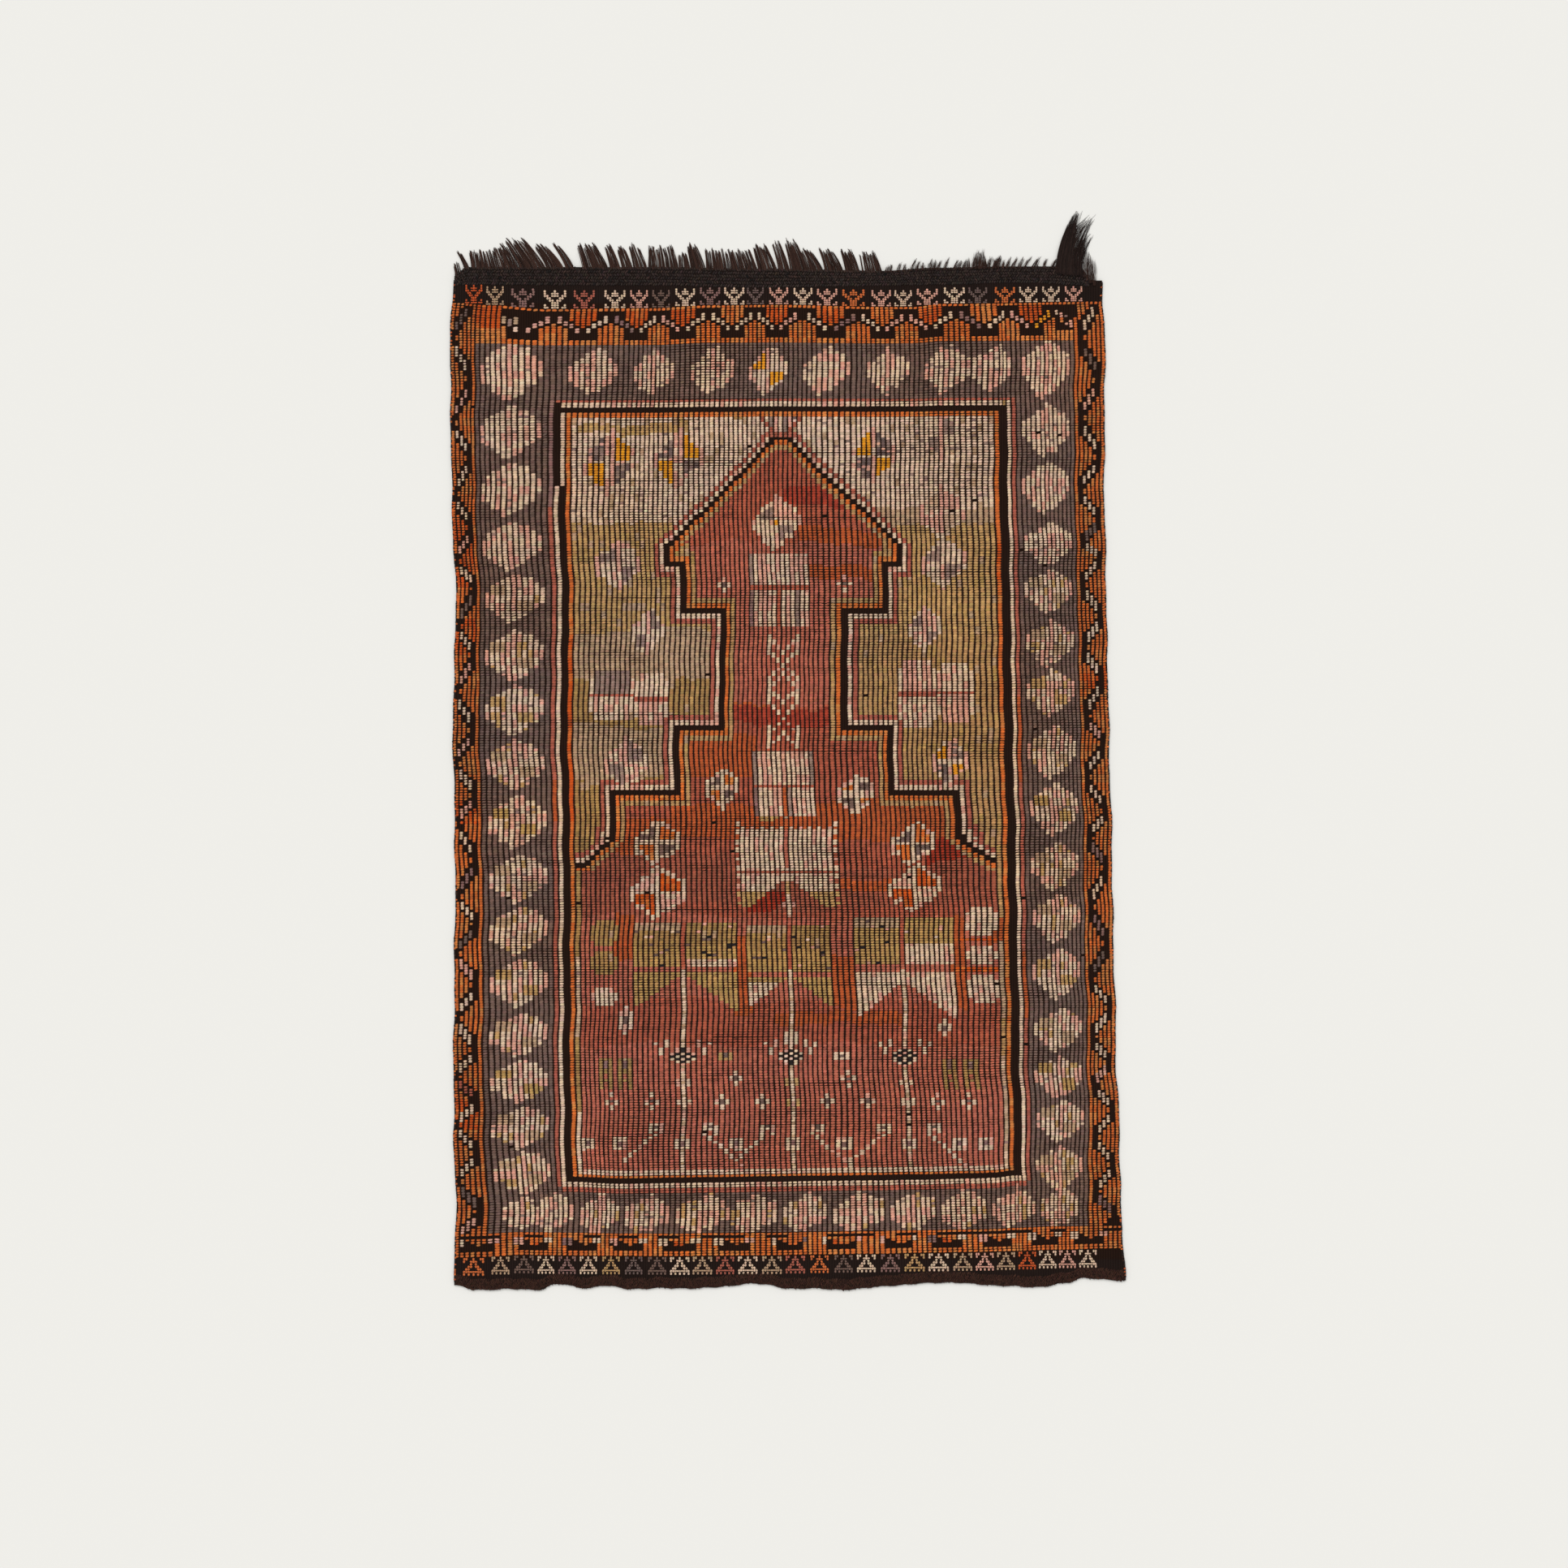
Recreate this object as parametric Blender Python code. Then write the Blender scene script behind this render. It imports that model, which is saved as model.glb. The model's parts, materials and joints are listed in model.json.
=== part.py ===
"""Cicim prayer rug, a flat brocaded wool cloth with a twined and fringed head.

Metres, +Z up. The rug lies face up on the floor, its foot towards -Y and its fringed head towards +Y.
The cloth is one sheet with its hem. The twined strip across the head carries the fringe locks, and the
unravelled end of that twining is a tail of its own.
"""

import math
from collections import namedtuple

import bmesh
import bpy

MM = 0.001

# The cloth.
HALF_WIDTH = 450 * MM
CLOTH_LENGTH = 1374 * MM
COLUMNS = 132
KILIM_THICKNESS = 2.2 * MM
RIB_VALLEY = 2.4 * MM
RIB_CREST = 3.4 * MM
HEM_THICKNESS = 3.2 * MM
HEM_LUMP = 0.5 * MM
HEM_DEPTH = 17 * MM
FOOT_BAND_DEPTH = 25 * MM
HEAD_BAND_DEPTH = 27 * MM
BROCADE_ROWS = 8
SELVEDGE_CUTS = 8
SELVEDGE_WAVE = 0.9 * MM
HEM_RIPPLE = 0.7 * MM
WAVE_FADE = 8

# The twined strip, its locks and its tail.
GAP = 0.3 * MM
STRIP_VALLEY = 3.2 * MM
STRIP_LOBE = 1.1 * MM
LOBE_PITCH = 8.5 * MM
LOCK_THICKNESS = 1.7 * MM
TIP_THICKNESS = 0.6 * MM
LOCK_SHARE = 0.72
TIP_SHARE = 0.4
LENGTH_SPREAD = 0.16
TAIL_HEAD_DEPTH = 12 * MM
TAIL_THICKNESS = 3.6 * MM

# How far each selvedge stands outside the straight line at HALF_WIDTH, from the foot (0) to the head (1).
Selvedge = namedtuple("Selvedge", "along left right")
SELVEDGES = [
    Selvedge(0.00, 6 * MM, 11 * MM),
    Selvedge(0.09, 4 * MM, 4 * MM),
    Selvedge(0.15, 7 * MM, 3 * MM),
    Selvedge(0.22, 7 * MM, -2 * MM),
    Selvedge(0.41, 5 * MM, -7 * MM),
    Selvedge(0.57, 8 * MM, -12 * MM),
    Selvedge(0.67, 4 * MM, -15 * MM),
    Selvedge(0.80, 10 * MM, -18 * MM),
    Selvedge(0.93, 12 * MM, -17 * MM),
    Selvedge(1.00, 8 * MM, -20 * MM),
]

# How far the hem's edge drops below its mean line, from the left selvedge (0) to the right (1).
Edge = namedtuple("Edge", "across drop")
HEM_EDGE = [
    Edge(0.00, 0 * MM),
    Edge(0.03, 5 * MM),
    Edge(0.13, 5 * MM),
    Edge(0.15, -2 * MM),
    Edge(0.20, 3 * MM),
    Edge(0.22, 0 * MM),
    Edge(0.26, 4 * MM),
    Edge(0.38, 3 * MM),
    Edge(0.44, -3 * MM),
    Edge(0.51, 4 * MM),
    Edge(0.59, 5 * MM),
    Edge(0.66, -1 * MM),
    Edge(0.73, -5 * MM),
    Edge(0.78, -2 * MM),
    Edge(0.86, 2 * MM),
    Edge(0.91, -3 * MM),
    Edge(0.94, -11 * MM),
    Edge(1.00, -6 * MM),
]

# The line where the cloth meets the twining, as a rise above its mean, and the twining's depth beyond it.
Head = namedtuple("Head", "across rise depth")
HEAD_LINE = [
    Head(0.00, 1 * MM, 10 * MM),
    Head(0.02, 1 * MM, 22 * MM),
    Head(0.31, 0 * MM, 23 * MM),
    Head(0.47, -3 * MM, 24 * MM),
    Head(0.66, 0 * MM, 18 * MM),
    Head(0.74, 1 * MM, 21 * MM),
    Head(0.86, 4 * MM, 20 * MM),
    Head(0.92, 3 * MM, 21 * MM),
    Head(0.965, 0 * MM, 22 * MM),
    Head(0.99, -2 * MM, 9 * MM),
    Head(1.00, -2 * MM, 6 * MM),
]

# How wide the brocade columns are woven in each stretch of the width, as shares of one another.
Stretch = namedtuple("Stretch", "name columns pitch")
STRETCHES = [
    Stretch("left zigzag border", 6, 5.5),
    Stretch("left grey band", 14, 6.8),
    Stretch("left frame lines", 4, 7.0),
    Stretch("left ground", 16, 6.1),
    Stretch("left shoulder", 12, 6.5),
    Stretch("niche", 21, 5.9),
    Stretch("right shoulder", 7, 7.2),
    Stretch("right ground", 18, 6.1),
    Stretch("right inner lines", 10, 6.8),
    Stretch("right frame lines", 2, 4.3),
    Stretch("right grey band", 7, 6.1),
    Stretch("right zigzag border", 15, 5.2),
]

# How far a column wanders from its place, at five heights from the foot to the head.
Drift = namedtuple("Drift", "column foot low middle high head")
DRIFTS = [
    Drift(0, 0, 0, 0, 0, 0),
    Drift(11, 13 * MM, 5 * MM, 0, -7 * MM, -4 * MM),
    Drift(22, 2 * MM, 0, -1 * MM, -2 * MM, 6 * MM),
    Drift(33, -7 * MM, -4 * MM, 0, 4 * MM, 14 * MM),
    Drift(44, -8 * MM, -1 * MM, 0, 2 * MM, 7 * MM),
    Drift(55, -3 * MM, 0, -3 * MM, 1 * MM, 5 * MM),
    Drift(66, 4 * MM, 4 * MM, -2 * MM, -2 * MM, 0),
    Drift(77, 5 * MM, 4 * MM, -4 * MM, -2 * MM, -1 * MM),
    Drift(88, 10 * MM, 3 * MM, -4 * MM, -2 * MM, -3 * MM),
    Drift(99, 10 * MM, 3 * MM, -4 * MM, -3 * MM, -4 * MM),
    Drift(110, -1 * MM, 2 * MM, 1 * MM, 0, -3 * MM),
    Drift(121, -8 * MM, 2 * MM, 2 * MM, 0, -4 * MM),
    Drift(132, 0, 0, 0, 0, 0),
]

# The fringe in bunches: from and to along X, how many locks, how long, how far the tips lean to the right
# for each metre of length, how much of the bunch's width its tips keep, and how the lean grows to the tip.
Bunch = namedtuple("Bunch", "start end locks reach lean keep curl")
FRINGE = [
    Bunch(-455 * MM, -447 * MM, 2, 13 * MM, -0.35, 0.7, 1.2),
    Bunch(-443 * MM, -436 * MM, 2, 19 * MM, -0.65, 0.6, 1.2),
    Bunch(-433 * MM, -400 * MM, 7, 21 * MM, -0.27, 0.9, 1.2),
    Bunch(-399 * MM, -384 * MM, 3, 25 * MM, -0.42, 0.9, 1.2),
    Bunch(-383 * MM, -368 * MM, 3, 29 * MM, -0.60, 0.9, 1.2),
    Bunch(-367 * MM, -331 * MM, 7, 37 * MM, -0.78, 0.8, 1.2),
    Bunch(-330 * MM, -307 * MM, 4, 31 * MM, -0.85, 0.7, 1.3),
    Bunch(-304 * MM, -292 * MM, 2, 30 * MM, -0.75, 0.6, 1.3),
    Bunch(-281 * MM, -246 * MM, 7, 30 * MM, -0.50, 0.7, 1.2),
    Bunch(-244 * MM, -229 * MM, 3, 29 * MM, -0.42, 0.7, 1.2),
    Bunch(-227 * MM, -212 * MM, 3, 26 * MM, -0.45, 0.7, 1.2),
    Bunch(-211 * MM, -193 * MM, 3, 30 * MM, -0.40, 0.7, 1.2),
    Bunch(-191 * MM, -162 * MM, 5, 27 * MM, -0.15, 0.8, 1.2),
    Bunch(-161 * MM, -150 * MM, 2, 28 * MM, -0.28, 0.7, 1.2),
    Bunch(-149 * MM, -134 * MM, 3, 18 * MM, -0.22, 0.8, 1.2),
    Bunch(-133 * MM, -113 * MM, 4, 31 * MM, -0.35, 0.6, 1.2),
    Bunch(-112 * MM, -78 * MM, 7, 24 * MM, -0.20, 0.9, 1.2),
    Bunch(-77 * MM, -42 * MM, 7, 24 * MM, -0.38, 0.9, 1.2),
    Bunch(-41 * MM, -15 * MM, 5, 31 * MM, -0.42, 0.7, 1.2),
    Bunch(-14 * MM, 2 * MM, 3, 37 * MM, -0.35, 0.7, 1.2),
    Bunch(3 * MM, 27 * MM, 5, 39 * MM, -0.38, 0.6, 1.2),
    Bunch(28 * MM, 48 * MM, 4, 27 * MM, -0.62, 0.7, 1.2),
    Bunch(50 * MM, 76 * MM, 5, 27 * MM, -0.50, 0.7, 1.3),
    Bunch(78 * MM, 99 * MM, 4, 26 * MM, -0.42, 0.7, 1.3),
    Bunch(101 * MM, 128 * MM, 5, 24 * MM, -0.35, 0.8, 1.3),
    Bunch(136 * MM, 160 * MM, 4, 10 * MM, 0.10, 0.7, 1.0),
    Bunch(172 * MM, 190 * MM, 3, 8 * MM, 0.15, 0.7, 1.0),
    Bunch(203 * MM, 243 * MM, 6, 8 * MM, 0.10, 0.8, 1.0),
    Bunch(258 * MM, 276 * MM, 4, 19 * MM, 0.10, 0.5, 1.0),
    Bunch(288 * MM, 316 * MM, 5, 9 * MM, 0.30, 0.7, 1.0),
    Bunch(322 * MM, 362 * MM, 7, 11 * MM, 0.45, 0.8, 1.0),
    Bunch(408 * MM, 425 * MM, 4, 36 * MM, 0.12, 0.7, 1.2),
]
TAIL = [
    Bunch(368 * MM, 391 * MM, 7, 62 * MM, 0.34, 0.40, 1.2),
    Bunch(392 * MM, 404 * MM, 4, 56 * MM, 0.36, 0.62, 1.6),
]


def between(rows, at, read):
    """The value that read() gives at a place, easing from each row of a table to the next."""
    if at <= rows[0][0]:
        return read(rows[0])
    for low, high in zip(rows, rows[1:]):
        if at <= high[0]:
            share = (at - low[0]) / (high[0] - low[0])
            ease = share * share * (3 - 2 * share)
            return read(low) + (read(high) - read(low)) * ease
    return read(rows[-1])


def column_shares():
    """Where each column's left side lies across the cloth, from 0 to 1."""
    widths = [stretch.pitch for stretch in STRETCHES for _ in range(stretch.columns)]
    shares = [0.0]
    for width in widths:
        shares.append(shares[-1] + width / sum(widths))
    return shares


SHARES = column_shares()


def wander(column, along):
    """The sideways drift of a column at a height from the foot (0) to the head (1)."""
    heights = [(place / 4, place + 1) for place in range(5)]

    def at_height(entry):
        return between(DRIFTS, column, lambda row: row[entry[1]])

    return between(heights, along, at_height)


def left_edge(along):
    wave = math.sin(along * 61) + 0.6 * math.sin(along * 131 + 1)
    return -HALF_WIDTH - between(SELVEDGES, along, lambda row: row.left) - SELVEDGE_WAVE * wave


def right_edge(along):
    wave = math.sin(along * 67 + 2) + 0.6 * math.sin(along * 139)
    return HALF_WIDTH + between(SELVEDGES, along, lambda row: row.right) + SELVEDGE_WAVE * wave


def foot_wave(across):
    """How far the hem's edge leaves its mean line."""
    ripple = HEM_RIPPLE * (math.sin(across * 190) + math.sin(across * 83 + 1))
    return ripple - between(HEM_EDGE, across, lambda row: row.drop)


def head_line(across):
    return CLOTH_LENGTH / 2 + between(HEAD_LINE, across, lambda row: row.rise)


def cloth_y(across, along):
    """The place along Y of a point of the cloth: the waves of its foot and head die out between them."""
    straight = CLOTH_LENGTH * (along - 0.5)
    foot = foot_wave(across) * (1 - along) ** WAVE_FADE
    return straight + foot + (head_line(across) - CLOTH_LENGTH / 2 - GAP / 2) * along**WAVE_FADE


def across_at(x):
    """The share of the head's width at a place along X."""
    left, right = left_edge(1.0), right_edge(1.0)
    return (x - left) / (right - left)


def strip_top(x):
    """The twining's outer edge at a place along X."""
    across = across_at(x)
    return head_line(across) + between(HEAD_LINE, across, lambda row: row.depth)


def column_x(column, along):
    """Where a column's side lies at a height. Half columns are crests."""
    whole = min(int(column), COLUMNS - 1)
    share = SHARES[whole] + (SHARES[whole + 1] - SHARES[whole]) * (column - whole)
    left, right = left_edge(along), right_edge(along)
    return left + (right - left) * share + wander(column, along)


def material(name, color, roughness):
    made = bpy.data.materials.new(name)
    made.use_nodes = True
    surface = made.node_tree.nodes["Principled BSDF"]
    surface.inputs["Base Color"].default_value = (*color, 1.0)
    surface.inputs["Roughness"].default_value = roughness
    surface.inputs["Metallic"].default_value = 0.0
    return made


def add_object(name, mesh_data, collection, finish):
    mesh = bpy.data.meshes.new(name)
    mesh_data.to_mesh(mesh)
    mesh_data.free()
    made = bpy.data.objects.new(name, mesh)
    made.data.materials.append(finish)
    collection.objects.link(made)
    return made


def close_underneath(cloth):
    """Walls down to the floor round an open top face, and one flat face underneath."""
    rim = [edge for edge in cloth.edges if edge.is_boundary]
    made = bmesh.ops.extrude_edge_only(cloth, edges=rim)["geom"]
    for vertex in made:
        if isinstance(vertex, bmesh.types.BMVert):
            vertex.co.z = 0.0
    floor_rim = [edge for edge in made if isinstance(edge, bmesh.types.BMEdge) and edge.is_boundary]
    bmesh.ops.edgeloop_fill(cloth, edges=floor_rim)
    bmesh.ops.recalc_face_normals(cloth, faces=cloth.faces)


def cloth_rows():
    """The heights of the grid's rows, as shares of the length: hem, foot band, brocade and head band."""
    hem = HEM_DEPTH / CLOTH_LENGTH
    foot = hem + FOOT_BAND_DEPTH / CLOTH_LENGTH
    head = 1 - HEAD_BAND_DEPTH / CLOTH_LENGTH
    ribs = [foot + (head - foot) * row / BROCADE_ROWS for row in range(BROCADE_ROWS + 1)]
    edge = 0.1 * hem
    return [0.0, hem, hem + edge, foot - edge, *ribs, head + edge, 1.0]


def cloth_height(row, rows, column):
    """The thickness at a grid row and a half-column: lumps on the hem, flat kilim bands, ribs on the brocade."""
    if row <= 1:
        return HEM_THICKNESS + HEM_LUMP * math.sin(2.2 * column + 2 * row)
    if row in (2, 3) or row >= len(rows) - 2:
        return KILIM_THICKNESS
    return RIB_CREST if column % 2 else RIB_VALLEY


def build_cloth(collection):
    """The woven cloth with its hem: ribs for the brocade columns, wavy selvedges and an uneven foot."""
    cloth = bmesh.new()
    rows = cloth_rows()
    step = 2 / (len(rows) - 1)
    bmesh.ops.create_grid(cloth, x_segments=2 * COLUMNS, y_segments=len(rows) - 1, size=1)
    sides = [edge for edge in cloth.edges if edge.is_boundary and abs(sum(v.co.x for v in edge.verts)) > 1.999]
    bmesh.ops.subdivide_edges(cloth, edges=sides, cuts=SELVEDGE_CUTS)
    for vertex in cloth.verts:
        column = round((vertex.co.x + 1) * COLUMNS)
        place = (vertex.co.y + 1) / step
        row = min(int(place + 0.001), len(rows) - 2)
        along = rows[row] + (rows[row + 1] - rows[row]) * (place - row)
        height = cloth_height(round(place), rows, column)
        x = column_x(column / 2, along)
        share = min(max((x - left_edge(along)) / (right_edge(along) - left_edge(along)), 0), 1)
        vertex.co = (x, cloth_y(share, along), height)
    close_underneath(cloth)
    return add_object("rug_panel", cloth, collection, material("brocaded_wool", (0.34, 0.19, 0.13), 0.92))


def lock_sides(bunches):
    """Each lock in order: the places along X where it starts and ends, its bunch, and how short it is cut."""
    sides = []
    for bunch in bunches:
        pitch = (bunch.end - bunch.start) / bunch.locks
        for lock in range(bunch.locks):
            start = bunch.start + pitch * (lock + (1 - LOCK_SHARE) / 2)
            trim = 1 - LENGTH_SPREAD * (0.5 + 0.5 * math.sin(2.4 * len(sides)))
            sides.append((start, start + pitch * LOCK_SHARE, bunch, trim))
    return sides


def lock_point(root, side, bunch, share, thickness):
    """A corner of a lock at a share of its length: its place along X, its reach and its height."""
    middle = (bunch.start + bunch.end) / 2
    tip = middle + (root - middle) * bunch.keep + bunch.lean * bunch.reach
    centre = root + (tip - root) * share**bunch.curl
    half = abs(side - root) * (1 - (1 - TIP_SHARE) * share)
    height = thickness + (TIP_THICKNESS - thickness) * share
    return centre + math.copysign(half, side - root), height


def root_wall(strip, root):
    """The face of the strip's outer wall that a lock grows from."""
    for face in strip.faces:
        middle = face.calc_center_median()
        if abs(middle.x - root) < 0.05 * MM and face.normal.y > 0.6 and abs(face.normal.z) < 0.5:
            return face
    raise ValueError(f"no wall at {root:.4f}")


def grow_locks(strip, locks, steps, thickness):
    """Draws each lock out of the strip's outer wall in a few steps, level on the floor."""
    for start, end, bunch, trim in locks:
        root = (start + end) / 2
        wall = root_wall(strip, root)
        starts = [(corner.co.x, corner.co.y, corner.co.z > 0.1 * MM) for corner in wall.verts]
        for step in range(1, steps + 1):
            share = trim * step / steps
            wall = bmesh.ops.extrude_discrete_faces(strip, faces=[wall])["faces"][0]
            for corner, (side, foot, upper) in zip(wall.verts, starts):
                x, height = lock_point(root, side, bunch, share, thickness)
                corner.co = (x, foot + bunch.reach * share, height if upper else 0.0)


def filled_stations(sides, low, high, step):
    """The places along X for a strip's points: each lock's two sides, and more where there are no locks."""
    fixed = sorted({low, high, *(place for start, end, *_ in sides for place in (start, end))})
    stations = [fixed[0]]
    for place in fixed[1:]:
        count = max(1, round((place - stations[-1]) / step))
        first = stations[-1]
        stations.extend(first + (place - first) * part / count for part in range(1, count + 1))
    return stations


def build_strip(name, bunches, low, high, base, top, height, rows, steps, collection, finish):
    """A strip from base(x) to top(x), with its locks drawn out of its outer wall."""
    sides = lock_sides(bunches)
    stations = filled_stations(sides, low, high, LOBE_PITCH / 2)
    strip = bmesh.new()
    bmesh.ops.create_grid(strip, x_segments=len(stations) - 1, y_segments=rows, size=1)
    for vertex in strip.verts:
        station = round((vertex.co.x + 1) / 2 * (len(stations) - 1))
        row = round((vertex.co.y + 1) / 2 * rows)
        x = stations[station]
        y = base(x) + (top(x) - base(x)) * row / rows
        vertex.co = (x, y, height(x, row / rows))
    close_underneath(strip)
    strip.normal_update()
    grow_locks(strip, sides, steps, height(low, 1.0))
    bmesh.ops.recalc_face_normals(strip, faces=strip.faces)
    return add_object(name, strip, collection, finish)


def twining_height(x, share):
    """Slanted lobes along the twining, thinner at its outer edge, where the locks leave it."""
    if share > 0.99:
        return LOCK_THICKNESS
    lobe = math.sin(2 * math.pi * x / LOBE_PITCH + 2.4 * share)
    return STRIP_VALLEY + STRIP_LOBE / 2 * (1 + lobe)


def build_heading(collection):
    """The twined strip across the head, its fringe locks fused into it."""
    finish = material("heading_wool", (0.016, 0.011, 0.010), 0.9)
    low, high = left_edge(1.0) + 1 * MM, right_edge(1.0) - 1 * MM
    return build_strip(
        "heading_fringe", FRINGE, low, high, lambda x: head_line(across_at(x)) + GAP / 2, strip_top,
        twining_height, 2, 2, collection, finish,
    )


def build_tail(collection):
    """The unravelled end of the twining: a flat head on the strip's outer edge, with long locks."""
    finish = material("tail_wool", (0.020, 0.014, 0.012), 0.85)
    low, high = TAIL[0].start, TAIL[-1].end

    def height(x, share):
        return LOCK_THICKNESS * 1.3 if share > 0.99 else TAIL_THICKNESS

    return build_strip(
        "braid_tail", TAIL, low, high, lambda x: strip_top(x) + GAP,
        lambda x: strip_top(x) + TAIL_HEAD_DEPTH, height, 2, 3, collection, finish,
    )


def centre_on_origin(parts):
    """Moves every piece so that the rug's box is centred on the origin, with its underside at Z 0."""
    points = [vertex.co for part in parts for vertex in part.data.vertices]
    shift_x = -(min(p.x for p in points) + max(p.x for p in points)) / 2
    shift_y = -(min(p.y for p in points) + max(p.y for p in points)) / 2
    for part in parts:
        for vertex in part.data.vertices:
            vertex.co.x += shift_x
            vertex.co.y += shift_y


def main():
    for item in list(bpy.data.objects):
        bpy.data.objects.remove(item)
    collection = bpy.data.collections.new("cicim_prayer_rug")
    bpy.context.scene.collection.children.link(collection)
    parts = [build_cloth(collection), build_heading(collection), build_tail(collection)]
    centre_on_origin(parts)


main()
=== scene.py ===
"""The looks of a flat cicim prayer rug: its brocade, bands, hem, twined head and fringe.

Metres, +Z up. The rug lies face up, its foot towards -Y. The brocade is laid stitch by stitch from a
chart of columns (0 to 132 from the left) and rows (0 to 367 from the foot band to the head band).
"""

import json
import math
from collections import namedtuple

import bpy
import numpy as np
from bpy.props import FloatProperty, FloatVectorProperty, IntProperty, PointerProperty
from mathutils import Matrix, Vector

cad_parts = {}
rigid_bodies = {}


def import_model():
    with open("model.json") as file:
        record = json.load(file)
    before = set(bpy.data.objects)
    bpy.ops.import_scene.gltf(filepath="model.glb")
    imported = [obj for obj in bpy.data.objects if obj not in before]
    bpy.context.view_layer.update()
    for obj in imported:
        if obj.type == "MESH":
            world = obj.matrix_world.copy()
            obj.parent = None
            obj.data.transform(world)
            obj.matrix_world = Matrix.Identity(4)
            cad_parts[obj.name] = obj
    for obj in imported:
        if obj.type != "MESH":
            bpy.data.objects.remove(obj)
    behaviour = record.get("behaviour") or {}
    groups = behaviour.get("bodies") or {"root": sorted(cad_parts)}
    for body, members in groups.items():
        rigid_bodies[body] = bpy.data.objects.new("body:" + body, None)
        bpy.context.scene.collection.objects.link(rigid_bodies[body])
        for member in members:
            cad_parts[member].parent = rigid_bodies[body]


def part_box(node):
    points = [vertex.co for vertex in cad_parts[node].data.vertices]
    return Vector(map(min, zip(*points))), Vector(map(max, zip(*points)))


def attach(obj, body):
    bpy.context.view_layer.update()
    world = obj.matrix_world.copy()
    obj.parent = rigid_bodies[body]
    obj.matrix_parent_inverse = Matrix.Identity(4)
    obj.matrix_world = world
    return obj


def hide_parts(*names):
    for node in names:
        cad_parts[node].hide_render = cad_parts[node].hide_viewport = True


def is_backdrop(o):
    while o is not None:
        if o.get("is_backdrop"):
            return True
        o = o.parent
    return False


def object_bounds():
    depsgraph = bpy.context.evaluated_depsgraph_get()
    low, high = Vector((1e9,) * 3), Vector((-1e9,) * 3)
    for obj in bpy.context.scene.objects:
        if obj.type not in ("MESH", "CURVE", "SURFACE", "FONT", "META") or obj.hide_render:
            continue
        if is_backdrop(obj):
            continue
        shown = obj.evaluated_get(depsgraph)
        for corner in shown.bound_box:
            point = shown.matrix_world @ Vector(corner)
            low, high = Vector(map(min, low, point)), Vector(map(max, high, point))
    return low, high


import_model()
CAD_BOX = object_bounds()

bl_info = {
    "name": "Cicim prayer rug",
    "version": (1, 0, 0),
    "blender": (4, 5, 0),
    "location": "3D View > Sidebar > Rug",
    "description": "Lays the brocade, bands, hem, twining and fringe of a cicim prayer rug",
    "category": "Object",
}

MM = 0.001
PANEL, HEADING, TAIL_NODE = "rug_panel", "heading_fringe", "braid_tail"

# The square of floor that the camera sees, its height, and the cloth's area as drawn.
VIEW_SIDE, VIEW_CENTRE, VIEW_HEIGHT = 2.1445, (-0.0055, -0.0466), 6.0
SENSOR, FLOOR_REACH, FAR_CLIP = 36, 6.0, 50
SUN_SPREAD, SUN_TURN = 35, (-38, -18, 0)

# The cloth's plan, as the solids have it.
HALF_WIDTH, CLOTH_LENGTH = 450 * MM, 1374 * MM
SELVEDGE_WAVE, HEM_RIPPLE, WAVE_FADE = 0.9 * MM, 0.7 * MM, 8
# The waves along each edge: how fast each one turns, where it starts, and its height beside the first one's.
LEFT_WAVES, RIGHT_WAVES = ((61, 0, 1), (131, 1, 0.6)), ((67, 2, 1), (139, 0, 0.6))
HEM_WAVES = ((190, 0, 1), (83, 1, 1))
GAP = 0.3 * MM

# The chart. FOOT_LINE is how far row 0 lies from the hem's mean edge.
COLUMNS, ROWS, ROW_PITCH = 132, 367, 3.552 * MM
FOOT_LINE = 38.1 * MM
FRAME_ROW, FOOT_FADE, HEAD_FADE = 30, 100, 300
HEAD_FRAME, HEAD_BAND = 330, 352
STRIPS, FOLDS = 6, 3
SEEDS = {
    "chart": 11, "brocade": 23, "motifs": 5, "hem": 7, "selvedges": 9, "twining": 13, "fringe": 17, "tail": 19,
}


def draws(name):
    """The random draws of one piece of work, the same each time."""
    return np.random.default_rng(SEEDS[name])


def table(kind, lengths, *rows):
    """Rows of one kind, or with the named fields, from plain numbers; the named lengths are in millimetres."""
    kind = namedtuple("Row", kind) if isinstance(kind, str) else kind
    units = [MM if field in lengths.split() else 1 for field in kind._fields]
    return [kind(*(value * unit for value, unit in zip(row, units))) for row in rows]


# How far the selvedges stand out past the half width, how far the hem's edge drops, and how far the head's line
# rises and the twining reaches beyond it, at shares of the cloth's length or width.
SELVEDGES = table(
    "along left right", "left right",
    (0.00, 6, 11), (0.09, 4, 4), (0.15, 7, 3), (0.22, 7, -2), (0.41, 5, -7), (0.57, 8, -12), (0.67, 4, -15),
    (0.80, 10, -18), (0.93, 12, -17), (1.00, 8, -20),
)
HEM_EDGE = table(
    "across drop", "drop",
    (0.00, 0), (0.03, 5), (0.13, 5), (0.15, -2), (0.20, 3), (0.22, 0), (0.26, 4), (0.38, 3), (0.44, -3),
    (0.51, 4), (0.59, 5), (0.66, -1), (0.73, -5), (0.78, -2), (0.86, 2), (0.91, -3), (0.94, -11), (1.00, -6),
)
HEAD_LINE = table(
    "across rise depth", "rise depth",
    (0.00, 1, 10), (0.02, 1, 22), (0.31, 0, 23), (0.47, -3, 24), (0.66, 0, 18), (0.74, 1, 21), (0.86, 4, 20),
    (0.92, 3, 21), (0.965, 0, 22), (0.99, -2, 9), (1.00, -2, 6),
)

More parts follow.
